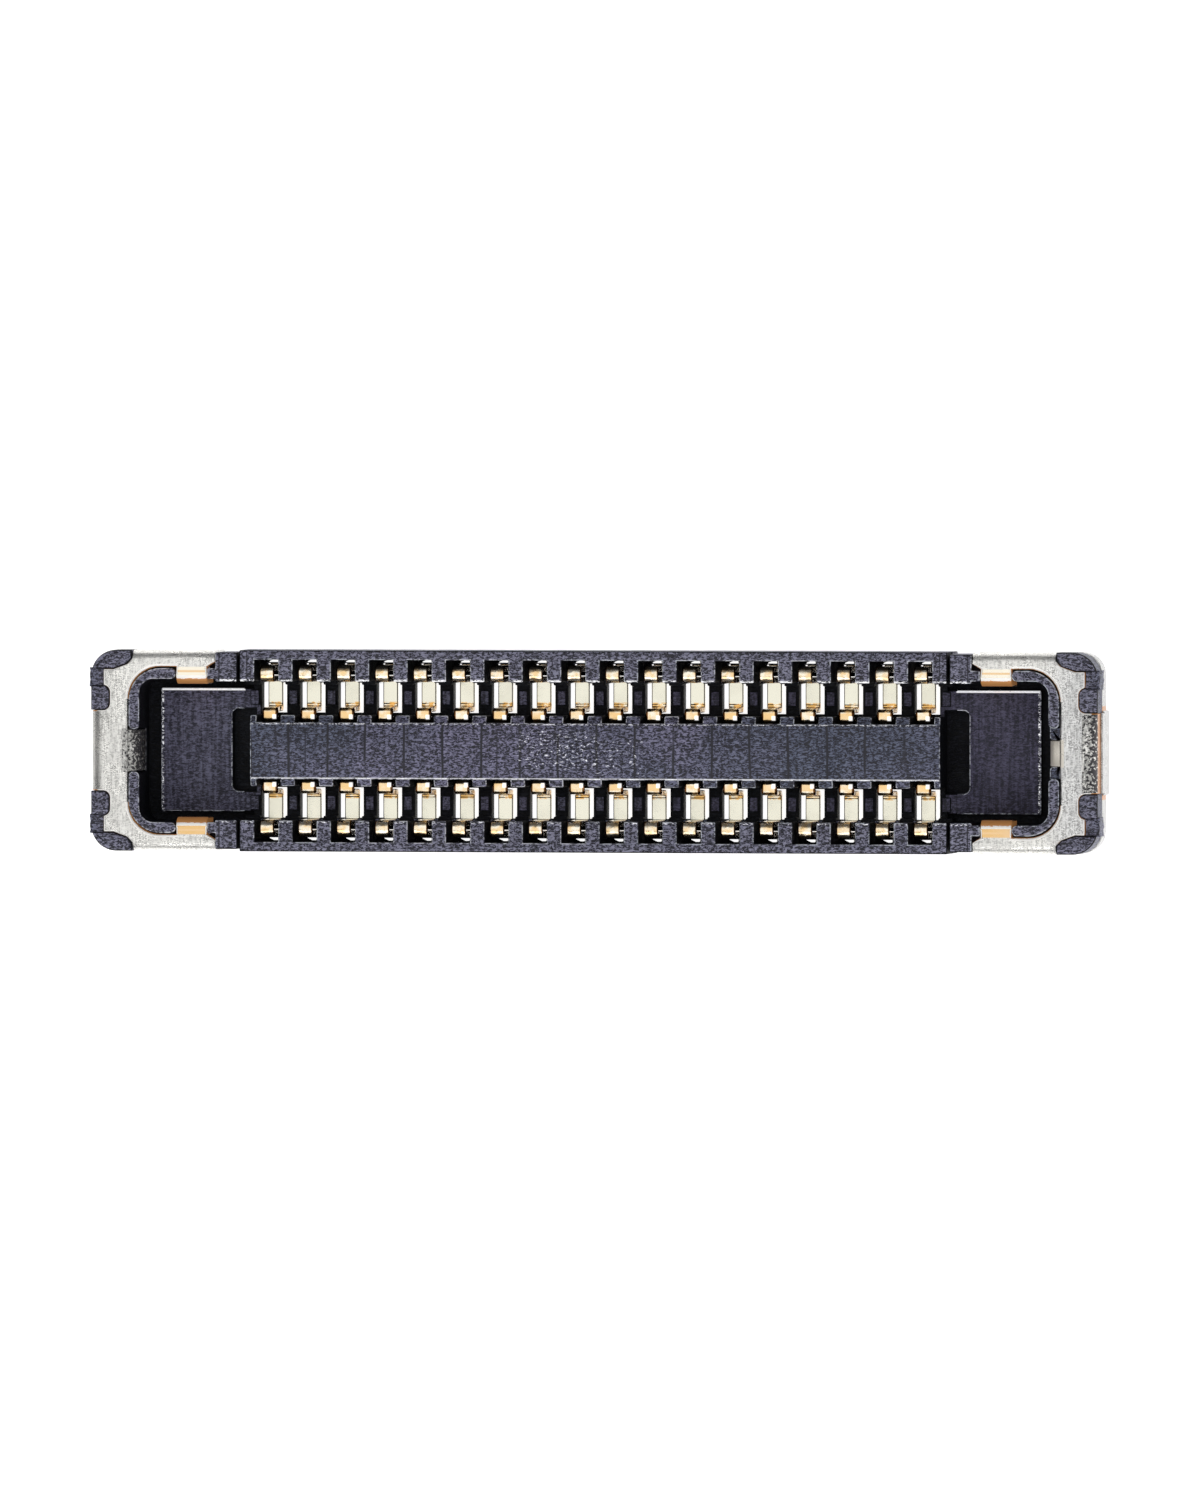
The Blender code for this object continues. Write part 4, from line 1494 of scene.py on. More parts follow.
@dataclass
class SurfaceEffects:
    """The patterns that more than one finish uses, each built once."""

    layout: Layout
    fibre_stretch: Spot = (0.55, 1.25, 1.0)
    fibre_detail: float = 3.0
    fibre_roughness: float = 0.7
    fibre_twist: float = 0.9
    fibre_levels: Span = (0.28, 0.72)
    streak_detail: float = 4.0
    streak_levels: Span = (0.3, 0.72)
    patch_detail: float = 5.0
    patch_levels: Span = (0.35, 0.68)
    cloud_detail: float = 3.0
    cloud_levels: Span = (0.35, 0.65)
    cloud_share: float = 0.2
    wander_scale: float = 1.3
    wander_reach: float = 0.05
    line_half: float = 0.243
    line_offset: float = -0.043
    line_edges: Span = (0.015, 0.006)
    line_depth: float = 0.01
    wear_scale: float = 2.0
    wear_detail: float = 3.0
    wear_levels: Span = (0.28, 0.42)

    def __post_init__(self) -> None:
        """Build every effect."""
        self.speckle = self._speckle()
        self.streaks = self._streaks()
        self.mottle = self._mottle()
        self.lines = self._lines()

    def use(
        self, bench: NodeBench, effect: bpy.types.ShaderNodeTree, place: Socket, **values: float
    ) -> bpy.types.NodeOutputs:
        """Place an effect in a material.

        Args:
            bench: The material's bench.
            effect: The shared pattern.
            place: The coordinates that it follows.
            **values: Values of the effect's own inputs.

        Returns:
            The effect's outputs.
        """
        return bench.add("ShaderNodeGroup", {"Vector": place, **values}, node_tree=effect).outputs

    def _group(
        self, name: str, inputs: dict[str, float], outputs: tuple[str, ...]
    ) -> tuple[NodeBench, bpy.types.NodeOutputs]:
        """Start a node group.

        Args:
            name: The group's name.
            inputs: Names and first values of the number sockets.
            outputs: Names of the masks that it puts out.

        Returns:
            The group's bench and the values that come in.
        """
        tree = bpy.data.node_groups.new(name, "ShaderNodeTree")
        tree.interface.new_socket("Vector", in_out="INPUT", socket_type="NodeSocketVector")
        for label, value in inputs.items():
            socket = tree.interface.new_socket(label, in_out="INPUT", socket_type="NodeSocketFloat")
            socket.default_value = value
        for label in outputs:
            tree.interface.new_socket(label, in_out="OUTPUT", socket_type="NodeSocketFloat")
        bench = NodeBench(tree)
        return bench, bench.add("NodeGroupInput").outputs

    def _speckle(self) -> bpy.types.ShaderNodeTree:
        """Build a fine grain that winds like short fibres."""
        bench, source = self._group("fine speckle", {"Scale": 50.0}, ("Grain",))
        inputs = {
            "Vector": bench.stretched(source["Vector"], self.fibre_stretch),
            "Scale": source["Scale"],
            "Detail": self.fibre_detail,
            "Roughness": self.fibre_roughness,
            "Distortion": self.fibre_twist,
        }
        grain = bench.add("ShaderNodeTexNoise", inputs).outputs[0]
        bench.add("NodeGroupOutput", {"Grain": bench.ramp(grain, *self.fibre_levels)})
        return bench.tree

    def _streaks(self) -> bpy.types.ShaderNodeTree:
        """Build long fine lines along Y, as tools and rolls leave them."""
        bench, source = self._group("tool streaks", {"Lines": 40.0, "Breaks": 2.5}, ("Streaks",))
        counts = {0: source["Lines"], 1: source["Breaks"], 2: source["Lines"]}
        scale = bench.add("ShaderNodeCombineXYZ", counts).outputs[0]
        inputs = {0: source["Vector"], 1: scale}
        vector = bench.add("ShaderNodeVectorMath", inputs, operation="MULTIPLY").outputs[0]
        streaks = bench.ramp(bench.noise(vector, 1.0, self.streak_detail), *self.streak_levels)
        bench.add("NodeGroupOutput", {"Streaks": streaks})
        return bench.tree

    def _mottle(self) -> bpy.types.ShaderNodeTree:
        """Build small patches and wide soft clouds."""
        bench, source = self._group("soft mottle", {"Scale": 6.0}, ("Patches", "Clouds"))
        patches = bench.noise(source["Vector"], source["Scale"], self.patch_detail)
        wide = bench.times(source["Scale"], self.cloud_share)
        clouds = bench.noise(source["Vector"], wide, self.cloud_detail)
        outputs = {
            "Patches": bench.ramp(patches, *self.patch_levels),
            "Clouds": bench.ramp(clouds, *self.cloud_levels),
        }
        bench.add("NodeGroupOutput", outputs)
        return bench.tree

    def _lines(self) -> bpy.types.ShaderNodeTree:
        """Build the fine lines where the mould's inserts meet on the island."""
        size = self.layout
        inputs = {"Strength": 1.0, "Pitch": size.pitch, "Half": self.line_half, "Level": size.island_top}
        bench, source = self._group("mould lines", inputs, ("Lines",))
        x, y, z = bench.parts(source["Vector"])
        wander = bench.times(bench.noise(source["Vector"], self.wander_scale), self.wander_reach)
        along = bench.math("ADD", bench.math("ADD", x, wander), self.line_offset)
        away = bench.math("PINGPONG", along, bench.times(source["Pitch"], 0.5))
        line = bench.ramp(away, *self.line_edges)
        inside = bench.math("LESS_THAN", bench.math("ABSOLUTE", y), source["Half"])
        drop = bench.math("ABSOLUTE", bench.math("SUBTRACT", z, source["Level"]))
        level = bench.math("LESS_THAN", drop, self.line_depth)
        wear = bench.noise(source["Vector"], self.wear_scale, self.wear_detail)
        worn = bench.ramp(wear, *self.wear_levels)
        bench.add("NodeGroupOutput", {"Lines": bench.times(line, inside, level, worn, source["Strength"])})
        return bench.tree


@dataclass(frozen=True)
class Finish(ABC):
    """A material that is built from shader nodes."""

    name: str

    def make(self, effects: SurfaceEffects) -> bpy.types.Material:
        """Build the material.

        Args:
            effects: The shared patterns.

        Returns:
            The finished material.
        """
        material = bpy.data.materials.new(self.name)
        material.use_nodes = True
        bench = NodeBench(material.node_tree)
        place = bench.add("ShaderNodeTexCoord").outputs["Object"]
        self.paint(bench, effects, bench.stretched(place, (1 / MILLIMETRE,) * 3))
        return material

    @abstractmethod
    def paint(self, bench: NodeBench, effects: SurfaceEffects, place: Socket) -> None:
        """Add the material's nodes.

        Args:
            bench: The material's bench.
            effects: The shared patterns.
            place: Coordinates in millimetres.
        """


@dataclass(frozen=True)
class Mark:
    """A narrow place that gets a painted highlight, or is darkened like a seam."""

    x: Span
    y: Span
    z: Span
    share: float
    mirrored: bool = True


@dataclass(frozen=True)
class Shift:
    """A slow change of the pale tone between two levels of one coordinate."""

    axis: int
    levels: Span
    colour: Colour


@dataclass(frozen=True)
class MouldedPlastic(Finish):
    """Glass-filled plastic with a fine uneven grain and faint tool streaks, and painted highlights that glow
    at the glint places.
    """

    dark: Colour
    pale: Colour
    tint: Colour
    roughness: float = 0.42
    rough_spread: float = 0.14
    specular: float = 0.5
    contrast: Span = (0.34, 0.68)
    streak_share: float = 0.14
    grain_scale: float = 52.0
    grain_depth: float = 2.0e-6
    patch_scale: float = 4.0
    shift: Shift | None = None
    line_strength: float = 0.0
    seams: tuple[Mark, ...] = ()
    # The glints are painted highlights: paler, partly metallic and glowing.
    glints: tuple[Mark, ...] = ()
    glint_colour: Colour = (0.90, 0.90, 0.93, 1.0)
    glint_roughness: float = 0.3
    glint_metallic: float = 0.5
    glow: float = 0.45
    mark_softness: float = 0.05

    def paint(self, bench: NodeBench, effects: SurfaceEffects, place: Socket) -> None:
        """Add the plastic's nodes.

        Args:
            bench: The material's bench.
            effects: The shared patterns.
            place: Coordinates in millimetres.
        """
        speckle = effects.use(bench, effects.speckle, place, Scale=self.grain_scale)
        streaks = effects.use(bench, effects.streaks, place)
        mottle = effects.use(bench, effects.mottle, place, Scale=self.patch_scale)
        lines = effects.use(bench, effects.lines, place, Strength=self.line_strength)
        spot = bench.parts(place)
        tone = bench.between(self.streak_share, speckle["Grain"], streaks["Streaks"])
        seams = bench.most(lines["Lines"], self.marks(bench, spot, speckle["Grain"], self.seams))
        tone = bench.times(bench.ramp(tone, *self.contrast), bench.math("SUBTRACT", 1.0, seams))
        pale = bench.mix(mottle["Clouds"], self.pale, self.tint)
        if self.shift:
            pale = bench.mix(bench.ramp(spot[self.shift.axis], *self.shift.levels), pale, self.shift.colour)
        # Painted highlights at the glint places.
        caught = self.marks(bench, spot, speckle["Grain"], self.glints)
        rough = bench.between(mottle["Patches"], self.roughness, self.roughness + self.rough_spread)
        bench.surface(
            Base_Color=bench.mix(caught, bench.mix(tone, self.dark, pale), self.glint_colour),
            Metallic=bench.times(caught, self.glint_metallic),
            Roughness=bench.between(caught, rough, self.glint_roughness),
            Normal=bench.bump(tone, self.grain_depth),
            Specular_IOR_Level=self.specular,
            Emission_Color=bench.mix(caught, BLACK, self.glint_colour),
            Emission_Strength=self.glow,
        )

    def marks(
        self, bench: NodeBench, spot: bpy.types.NodeOutputs, grain: Socket, marks: tuple[Mark, ...]
    ) -> Socket:
        """Return the mask of several narrow places.

        Args:
            bench: The material's bench.
            spot: The three coordinates in millimetres.
            grain: The pattern that breaks the marks up.
            marks: The places.

        Returns:
            The mask, 0 outside them all.
        """
        masks = [bench.times(grain, 0.0)]
        for mark in marks:
            x = bench.math("ABSOLUTE", spot[0]) if mark.mirrored else spot[0]
            zone = bench.zone((x, *mark.x), (spot[1], *mark.y), (spot[2], *mark.z))
            broken = bench.ramp(grain, 1.0 - self.mark_softness - mark.share, 1.0 - mark.share)
            masks.append(bench.times(zone, broken))
        return bench.most(*masks)


ISLAND_LENGTH: Span = (LOWEST, 3.13)
WALL_LENGTH: Span = (LOWEST, 3.40)
ISLAND_TOP: Span = (0.49, 0.51)
WALL_TOP: Span = (0.58, 0.61)
WALL_EDGE: Span = (0.585, 0.61)
PLATFORM_TOP: Span = (0.16, 0.19)
# Painted highlight along the rear top edge of each end platform.
PLATFORM_EDGE = Mark(x=(3.24, 4.00), y=(0.536, 0.560), z=PLATFORM_TOP, share=0.95)

HOUSING_FINISHES = (
    MouldedPlastic(
        "moulded_plastic",
        dark=(0.014, 0.013, 0.024, 1.0),
        pale=(0.305, 0.292, 0.445, 1.0),
        tint=(0.170, 0.192, 0.285, 1.0),
        contrast=(0.38, 0.66),
        line_strength=1.0,
        shift=Shift(axis=2, levels=(0.52, 0.58), colour=(0.330, 0.325, 0.450, 1.0)),
        # Painted highlights along the island's edges and the walls' inner edges, and painted sparkle on two
        # patches of the island.
        glints=(
            Mark(ISLAND_LENGTH, y=(-0.252, -0.242), z=ISLAND_TOP, share=0.85),
            Mark(ISLAND_LENGTH, y=(0.240, 0.248), z=ISLAND_TOP, share=0.35),
            Mark(WALL_LENGTH, y=(-0.646, -0.634), z=WALL_EDGE, share=0.30),
            Mark(x=(-0.70, 0.02), y=(-0.16, 0.19), z=ISLAND_TOP, share=0.07, mirrored=False),
            Mark(x=(-0.05, 0.46), y=(-0.22, 0.10), z=ISLAND_TOP, share=0.04, mirrored=False),
            Mark(WALL_LENGTH, y=(0.630, 0.643), z=WALL_EDGE, share=0.55),
        ),
        seams=(
            Mark(x=(3.400, 3.412), y=(0.62, 0.90), z=WALL_TOP, share=0.95),
            Mark(x=(3.400, 3.412), y=(-0.90, -0.62), z=WALL_TOP, share=0.95),
            Mark(x=(3.146, 3.156), y=(0.62, 0.90), z=WALL_TOP, share=0.80),
            Mark(x=(-0.892, -0.882), y=(-0.20, 0.20), z=ISLAND_TOP, share=0.85, mirrored=False),
            Mark(x=(-2.640, -2.630), y=(-0.15, 0.20), z=ISLAND_TOP, share=0.80, mirrored=False),
        ),
    ),
    # Painted highlight on the rounded edges: pale plastic that glows at its glints.
    MouldedPlastic(
        "highlit_plastic_edge",
        dark=(0.06, 0.06, 0.09, 1.0),
        pale=(0.78, 0.78, 0.86, 1.0),
        tint=(0.66, 0.70, 0.78, 1.0),
        roughness=0.36,
        grain_scale=22.0,
        glints=(Mark(WALL_LENGTH, y=(0.618, 0.640), z=WALL_TOP, share=0.55), PLATFORM_EDGE),
    ),
    # Painted shade: near black, for steep inner walls, recesses and dark edges.
    MouldedPlastic(
        "shaded_plastic_wall",
        dark=(0.001, 0.001, 0.002, 1.0),
        pale=(0.008, 0.008, 0.014, 1.0),
        tint=(0.006, 0.008, 0.013, 1.0),
        roughness=0.55,
        specular=0.22,
    ),
    # Painted shade: a darker copy for the sunk platforms and crests, with painted highlights on the
    # platforms' edges.
    MouldedPlastic(
        "shaded_low_plastic_face",
        dark=(0.014, 0.013, 0.026, 1.0),
        pale=(0.175, 0.165, 0.262, 1.0),
        tint=(0.160, 0.160, 0.240, 1.0),
        contrast=(0.22, 0.80),
        streak_share=0.30,
        specular=0.35,
        glow=0.7,
        shift=Shift(axis=0, levels=(-1.0, 1.0), colour=(0.110, 0.102, 0.172, 1.0)),
        glints=(PLATFORM_EDGE, Mark(x=(3.985, 4.002), y=(-0.55, 0.55), z=PLATFORM_TOP, share=0.25)),
    ),
)


class SheetZones(NamedTuple):
    """The masks of the places that differ from the plain sheet."""

    tabs: Socket
    tongue: Socket
    band: Socket
    smooth_tongue: Socket
    end_line: Socket


@dataclass(frozen=True)
class SatinSheet(Finish):
    """Plated sheet with a fine satin grain and gold flashed tabs, with painted light: shade on the bends and
    the tabs' curls, paler rear and darker front tabs, an evenly bright right tongue and a sparkle on the
    rough places.
    """

    layout: Layout
    dark: Colour = (0.56, 0.55, 0.52, 1.0)
    dark_grey: Colour = (0.36, 0.355, 0.35, 1.0)
    pale: Colour = (0.90, 0.885, 0.84, 1.0)
    grey: Colour = (0.78, 0.775, 0.76, 1.0)
    lit_rear_gold: Colour = (1.0, 0.93, 0.78, 1.0)
    shaded_front_gold: Colour = (0.86, 0.56, 0.25, 1.0)
    tab_band: Colour = (0.90, 0.62, 0.34, 1.0)
    gold_shade: Colour = (0.62, 0.28, 0.07, 1.0)
    warm: Colour = (0.86, 0.80, 0.70, 1.0)
    speck: Colour = (0.10, 0.095, 0.10, 1.0)
    copper: Colour = (0.60, 0.27, 0.09, 1.0)
    grain_scale: float = 75.0
    line_scale: float = 70.0
    break_scale: float = 9.0
    patch_scale: float = 5.0
    streak_share: float = 0.35
    contrast: Span = (0.12, 0.62)
    grey_start: Span = (-0.1, 0.2)
    rear_start: Span = (-0.1, 0.1)
    tab_lap: Span = (0.03, 0.02)
    tab_line: Span = (0.035, 0.018)
    curl_start: Span = (0.036, 0.046)
    tongue_lap: float = 0.02
    tongue_side: float = 0.01
    tongue_shade: Span = (-4.26, -4.15)
    tongue_metallic: float = 0.35
    band_start: float = 4.44
    band_end: float = 4.575
    band_half: float = 0.42
    line_width: float = 0.008
    bend_start: Span = (0.13, 0.06)
    bend_shades: Span = (0.52, 0.78)
    stipple_scale: float = 44.0
    stipple_levels: Span = (0.560, 0.590)
    stipple_drift: float = 0.17
    rubbed_depth: float = 5.0
    roughness: float = 0.26
    rough_spread: float = 0.04
    grain_depth: float = 0.9e-6

    def paint(self, bench: NodeBench, effects: SurfaceEffects, place: Socket) -> None:
        """Add the sheet's nodes.

        Args:
            bench: The material's bench.
            effects: The shared patterns.
            place: Coordinates in millimetres.
        """
        speckle = effects.use(bench, effects.speckle, place, Scale=self.grain_scale)
        streaks = effects.use(bench, effects.streaks, place, Lines=self.line_scale, Breaks=self.break_scale)
        mottle = effects.use(bench, effects.mottle, place, Scale=self.patch_scale)
        tone = bench.between(self.streak_share, speckle["Grain"], streaks["Streaks"])
        tone = bench.ramp(tone, *self.contrast)
        x, y, _ = bench.parts(place)
        across = bench.math("ABSOLUTE", y)
        zones = self.zones(bench, x, across)
        # The rough places: real relief in the bump, and a painted sparkle of pale and dark specks in the
        # colour.
        rough_sparkle = bench.most(zones.tongue, zones.band)
        # Painted shade darkens the rounded shoulders at the two ends.
        base = bench.mix(self.bends(bench, x), self.satin(bench, x, tone), BLACK)
        base = bench.mix(zones.tabs, base, self.gold(bench, y, across, mottle["Patches"]))
        # Painted light: the right tongue is an even warm beige and less metallic, so its curl reads evenly
        # bright.
        base = bench.mix(zones.smooth_tongue, base, self.warm)
        base = bench.mix(rough_sparkle, base, self.stipple(bench, place, x, zones))
        base = bench.mix(zones.end_line, base, self.copper)
        plain = bench.math("SUBTRACT", 1.0, bench.most(zones.tabs, zones.smooth_tongue))
        height = bench.times(tone, plain, bench.between(rough_sparkle, 1.0, self.rubbed_depth))
        tongues = bench.most(zones.smooth_tongue, zones.tongue)
        bench.surface(
            Base_Color=base,
            Metallic=bench.between(tongues, 1.0, self.tongue_metallic),
            Roughness=bench.between(mottle["Patches"], self.roughness, self.roughness + self.rough_spread),
            Normal=bench.bump(height, self.grain_depth),
        )

    def zones(self, bench: NodeBench, x: Socket, across: Socket) -> SheetZones:
        """Return the masks of the places that differ from the plain sheet.

        Args:
            bench: The material's bench.
            x: The coordinate along the part.
            across: The distance from the long axis.

        Returns:
            The masks.
        """
        size = self.layout
        before, after = self.tab_lap
        tab_x = (bench.math("ABSOLUTE", x), size.tab_start - before, size.tab_end + after)
        left_x = (x, -size.opening_end - self.tongue_lap, -size.cavity_end + self.tongue_lap)
        right_x = (x, size.cavity_end - self.tongue_lap, size.opening_end)
        return SheetZones(
            tabs=bench.zone(tab_x, (across, LOWEST, size.opening_side)),
            tongue=bench.zone(left_x, (across, LOWEST, size.left_tongue / 2 + self.tongue_side)),
            band=bench.zone((x, self.band_start, self.band_end), (across, LOWEST, self.band_half)),
            smooth_tongue=bench.zone(right_x, (across, LOWEST, size.right_tongue / 2 + self.tongue_side)),
            end_line=bench.zone(
                (x, self.band_end, self.band_end + self.line_width), (across, LOWEST, self.band_half)
            ),
        )

    def satin(self, bench: NodeBench, x: Socket, tone: Socket) -> Socket:
        """Return the plain sheet's colour, greyer at the right end.

        Args:
            bench: The material's bench.
            x: The coordinate along the part.
            tone: The grain from dark to pale.

        Returns:
            The colour.
        """
        near, far = self.grey_start
        right = bench.ramp(x, self.layout.cavity_end + near, self.layout.cavity_end + far)
        pale = bench.mix(right, self.pale, self.grey)
        return bench.mix(tone, bench.mix(right, self.dark, self.dark_grey), pale)

    def gold(self, bench: NodeBench, y: Socket, across: Socket, patches: Socket) -> Socket:
        """Return the tabs' colour, paler on the rear tabs and darker on the front ones as painted light.

        Args:
            bench: The material's bench.
            y: The coordinate across the part.
            across: The distance from the long axis.
            patches: The pattern of the spots on the front tabs.

        Returns:
            The colour, with a band on each tab and painted shade on the curl.
        """
        size = self.layout
        # Painted light: the rear tabs are paler, as lit, and the front tabs darker and spotted, as shaded.
        spotted = bench.mix(patches, self.shaded_front_gold, self.tab_band)
        gold = bench.mix(bench.ramp(y, *self.rear_start), spotted, self.lit_rear_gold)
        inner, outer = (size.rim_side - drop for drop in self.tab_line)
        gold = bench.mix(bench.zone((across, inner, outer)), gold, self.tab_band)
        # Painted shade where the tab curls down into the cavity.
        start, stop = (size.cavity_side - drop for drop in self.curl_start)
        return bench.mix(bench.ramp(across, start, stop), gold, self.gold_shade)

    def stipple(self, bench: NodeBench, place: Socket, x: Socket, zones: SheetZones) -> Socket:
        """Return the rough places' colour: a painted sparkle, pale with dark specks.

        Args:
            bench: The material's bench.
            place: Coordinates in millimetres.
            x: The coordinate along the part.
            zones: The masks of the sheet's places.

        Returns:
            The colour, with more specks towards the right of each place; on the left tongue that is painted
            shade where it curls down.
        """
        drift = bench.times(zones.band, bench.ramp(x, self.band_start, self.band_end))
        shade = bench.times(zones.tongue, bench.ramp(x, *self.tongue_shade))
        drift = bench.times(bench.most(drift, shade), self.stipple_drift)
        level = bench.math("ADD", bench.noise(place, self.stipple_scale), drift)
        return bench.mix(bench.ramp(level, *self.stipple_levels), self.pale, self.speck)

    def bends(self, bench: NodeBench, x: Socket) -> Socket:
        """Return how much painted shade darkens the rounded shoulders at the two ends.

        Args:
            bench: The material's bench.
            x: The coordinate along the part.

        Returns:
            The share of black.
        """
        start, stop = (self.layout.metal_end - drop for drop in self.bend_start)
        left = bench.times(bench.ramp(x, -start, -stop), 1.0 - self.bend_shades[0])
        right = bench.times(bench.ramp(x, start, stop), 1.0 - self.bend_shades[1])
        return bench.most(left, right)


@dataclass(frozen=True)
class StampedEdge(Finish):
    """The raw edge of the sheet: a painted highlight along its top over bare copper, all of it glowing
    faintly as painted light.
    """

    layout: Layout
    edge_highlight: Colour = (0.96, 0.94, 0.90, 1.0)
    copper: Colour = (0.60, 0.27, 0.09, 1.0)
    drop: Span = (0.009, 0.005)
    grain_scale: float = 60.0
    unevenness: float = 0.006
    roughness: float = 0.38
    rough_spread: float = 0.15
    metallic: float = 0.35
    glow: float = 0.22

    def paint(self, bench: NodeBench, effects: SurfaceEffects, place: Socket) -> None:
        """Add the edge's nodes.

        Args:
            bench: The material's bench.
            effects: The shared patterns.
            place: Coordinates in millimetres.
        """
        speckle = effects.use(bench, effects.speckle, place, Scale=self.grain_scale)
        height = bench.parts(place)[2]
        uneven = bench.math("ADD", height, bench.times(speckle["Grain"], self.unevenness))
        start, stop = (self.layout.plate_top - drop for drop in self.drop)
        # Copper below, a painted highlight along the top of the edge.
        base = bench.mix(bench.ramp(uneven, start, stop), self.copper, self.edge_highlight)
        # The whole edge glows faintly: painted light.
        bench.surface(
            Base_Color=base,
            Metallic=self.metallic,
            Roughness=bench.between(speckle["Grain"], self.roughness, self.roughness + self.rough_spread),
            Emission_Color=base,
            Emission_Strength=self.glow,
        )


@dataclass(frozen=True)
class GoldPlate(Finish):
    """Gold plating over stamped strip, with a pale stretch at the base, a painted reflection of the arm on
    the base beside its root, and painted glints.
    """

    layout: Layout
    dark: Colour = (0.95, 0.68, 0.36, 1.0)
    pale: Colour = (1.0, 0.93, 0.77, 1.0)
    bare: Colour = (0.87, 0.84, 0.70, 1.0)
    arm_reflection: Colour = (0.84, 0.50, 0.17, 1.0)
    tip: Colour = (0.98, 0.66, 0.31, 1.0)
    base_span: Span = (0.42, 0.62)
    base_level: float = 0.15
    root_span: Span = (0.36, 0.435)
    root_level: float = 0.22
    tip_side: float = 0.35
    tail_level: Span = (0.07, 0.09)
    tail_roughness: float = 0.04
    tail_glint: Mark = Mark(x=(-0.07, 0.015), y=(0.785, 0.82), z=(0.03, 0.06), share=1.0)
    tip_glint: Mark = Mark(x=(0.024, 0.058), y=(0.285, 0.325), z=(0.36, 0.45), share=1.0)
    breakup_scale: float = 22.0
    breakup_levels: Span = (0.42, 0.58)
    patch_scale: float = 16.0
    grain_scale: float = 40.0
    grain_share: float = 0.04
    dent_scale: float = 13.0
    dent_depth: float = 0.9e-5
    roughness: float = 0.14
    rough_spread: float = 0.14

    def paint(self, bench: NodeBench, effects: SurfaceEffects, place: Socket) -> None:
        """Add the gold's nodes.

        Args:
            bench: The material's bench.
            effects: The shared patterns.
            place: Coordinates in millimetres.
        """
        speckle = effects.use(bench, effects.speckle, place, Scale=self.grain_scale)
        mottle = effects.use(bench, effects.mottle, place, Scale=self.patch_scale)
        x, y, z = bench.parts(place)
        side = bench.math("ABSOLUTE", y)
        at_base = bench.zone((side, *self.base_span), (z, LOWEST, self.base_level))
        base = bench.mix(at_base, bench.mix(mottle["Patches"], self.pale, self.dark), self.bare)
        root = bench.zone((side, *self.root_span), (z, LOWEST, self.root_level))
        # Painted reflection of the gold arm on the base beside its root, broken into patches.
        reflection_breakup = bench.ramp(bench.noise(place, self.breakup_scale), *self.breakup_levels)
        base = bench.mix(bench.times(root, reflection_breakup), base, self.arm_reflection)
        at_tip = bench.zone((side, LOWEST, self.tip_side), (z, self.root_level, HIGHEST))
        base = bench.mix(bench.times(at_tip, mottle["Clouds"]), base, self.tip)
        raised = bench.ramp(z, *self.tail_level)
        rough = bench.between(mottle["Clouds"], self.roughness, self.roughness + self.rough_spread)
        dents = bench.times(bench.noise(place, self.dent_scale, 1.0), bench.math("SUBTRACT", raised, at_base))
        height = bench.math("ADD", dents, bench.times(speckle["Grain"], self.grain_share))
        # Painted highlights: two small white glows on every contact.
        bench.surface(
            Base_Color=base,
            Metallic=1.0,
            Roughness=bench.between(raised, self.tail_roughness, rough),
            Normal=bench.bump(height, self.dent_depth),
            Emission_Color=bench.mix(self.lit(bench, x, side, z), BLACK, WHITE),
            Emission_Strength=1.0,
        )

    def lit(self, bench: NodeBench, x: Socket, side: Socket, z: Socket) -> Socket:
        """Return the mask of the two painted glints on every contact.

        Args:
            bench: The material's bench.
            x: The coordinate along the part.
            side: The distance from the long axis.
            z: The height.

        Returns:
            The mask.
        """
        size = self.layout
        turns = bench.math("DIVIDE", bench.math("ADD", x, size.half_row + size.pitch / 2), size.pitch)
        offset = bench.times(bench.math("SUBTRACT", bench.math("FRACT", turns), 0.5), size.pitch)
        return bench.most(
            bench.zone((offset, *self.tail_glint.x), (side, *self.tail_glint.y), (z, *self.tail_glint.z)),
            bench.zone((offset, *self.tip_glint.x), (side, *self.tip_glint.y), (z, *self.tip_glint.z)),
        )


def contact_finishes(layout: Layout) -> tuple[GoldPlate, GoldPlate]:
    """Return the gold of the contacts' faces and its darker copy for their rounded edges, a painted shade
    outline.
    """
    # Painted shade: a dark copy of the gold for the rounded edges.
    edge = GoldPlate(
        "shaded_gold_plate_edge",
        layout,
        dark=(0.11, 0.04, 0.01, 1.0),
        pale=(0.32, 0.13, 0.035, 1.0),
        bare=(0.45, 0.40, 0.32, 1.0),
        tip=(0.11, 0.04, 0.01, 1.0),
    )
    return GoldPlate("gold_plate", layout), edge


@dataclass(frozen=True)
class PaleFloor(Finish):
    """The plain, faintly lit floor."""

    name: str = "pale_floor"
    colour: Colour = (0.92, 0.92, 0.92, 1.0)
    glow: float = 0.90
    patch_scale: float = 0.4
    roughness: Span = (0.75, 0.85)

    def paint(self, bench: NodeBench, effects: SurfaceEffects, place: Socket) -> None:
        """Add the floor's nodes.

        Args:
            bench: The material's bench.
            effects: The shared patterns.
            place: Coordinates in millimetres.
        """
        mottle = effects.use(bench, effects.mottle, place, Scale=self.patch_scale)
        bench.surface(
            Base_Color=self.colour,
            Roughness=bench.between(mottle["Patches"], *self.roughness),
            Emission_Color=self.colour,
            Emission_Strength=self.glow,
        )


@dataclass(frozen=True)
class SoftLight:
    """One soft area light over the part."""

    name: str
    place: Spot
    size: Span
    power: float

    def build(self) -> Piece:
        """Add the light, turned to the middle of the part.

        Returns:
            The light.
        """
        deselect_all()
        bpy.ops.object.light_add(type="AREA", location=self.place)
        light = bpy.context.active_object
        light.name = self.name
        light.data.shape = "RECTANGLE"
        light.data.size, light.data.size_y = self.size
        light.data.energy = self.power
        light.rotation_mode = "QUATERNION"
        light.rotation_quaternion = Vector(self.place).to_track_quat("Z", "Y")
        light.visible_camera = False
        return light


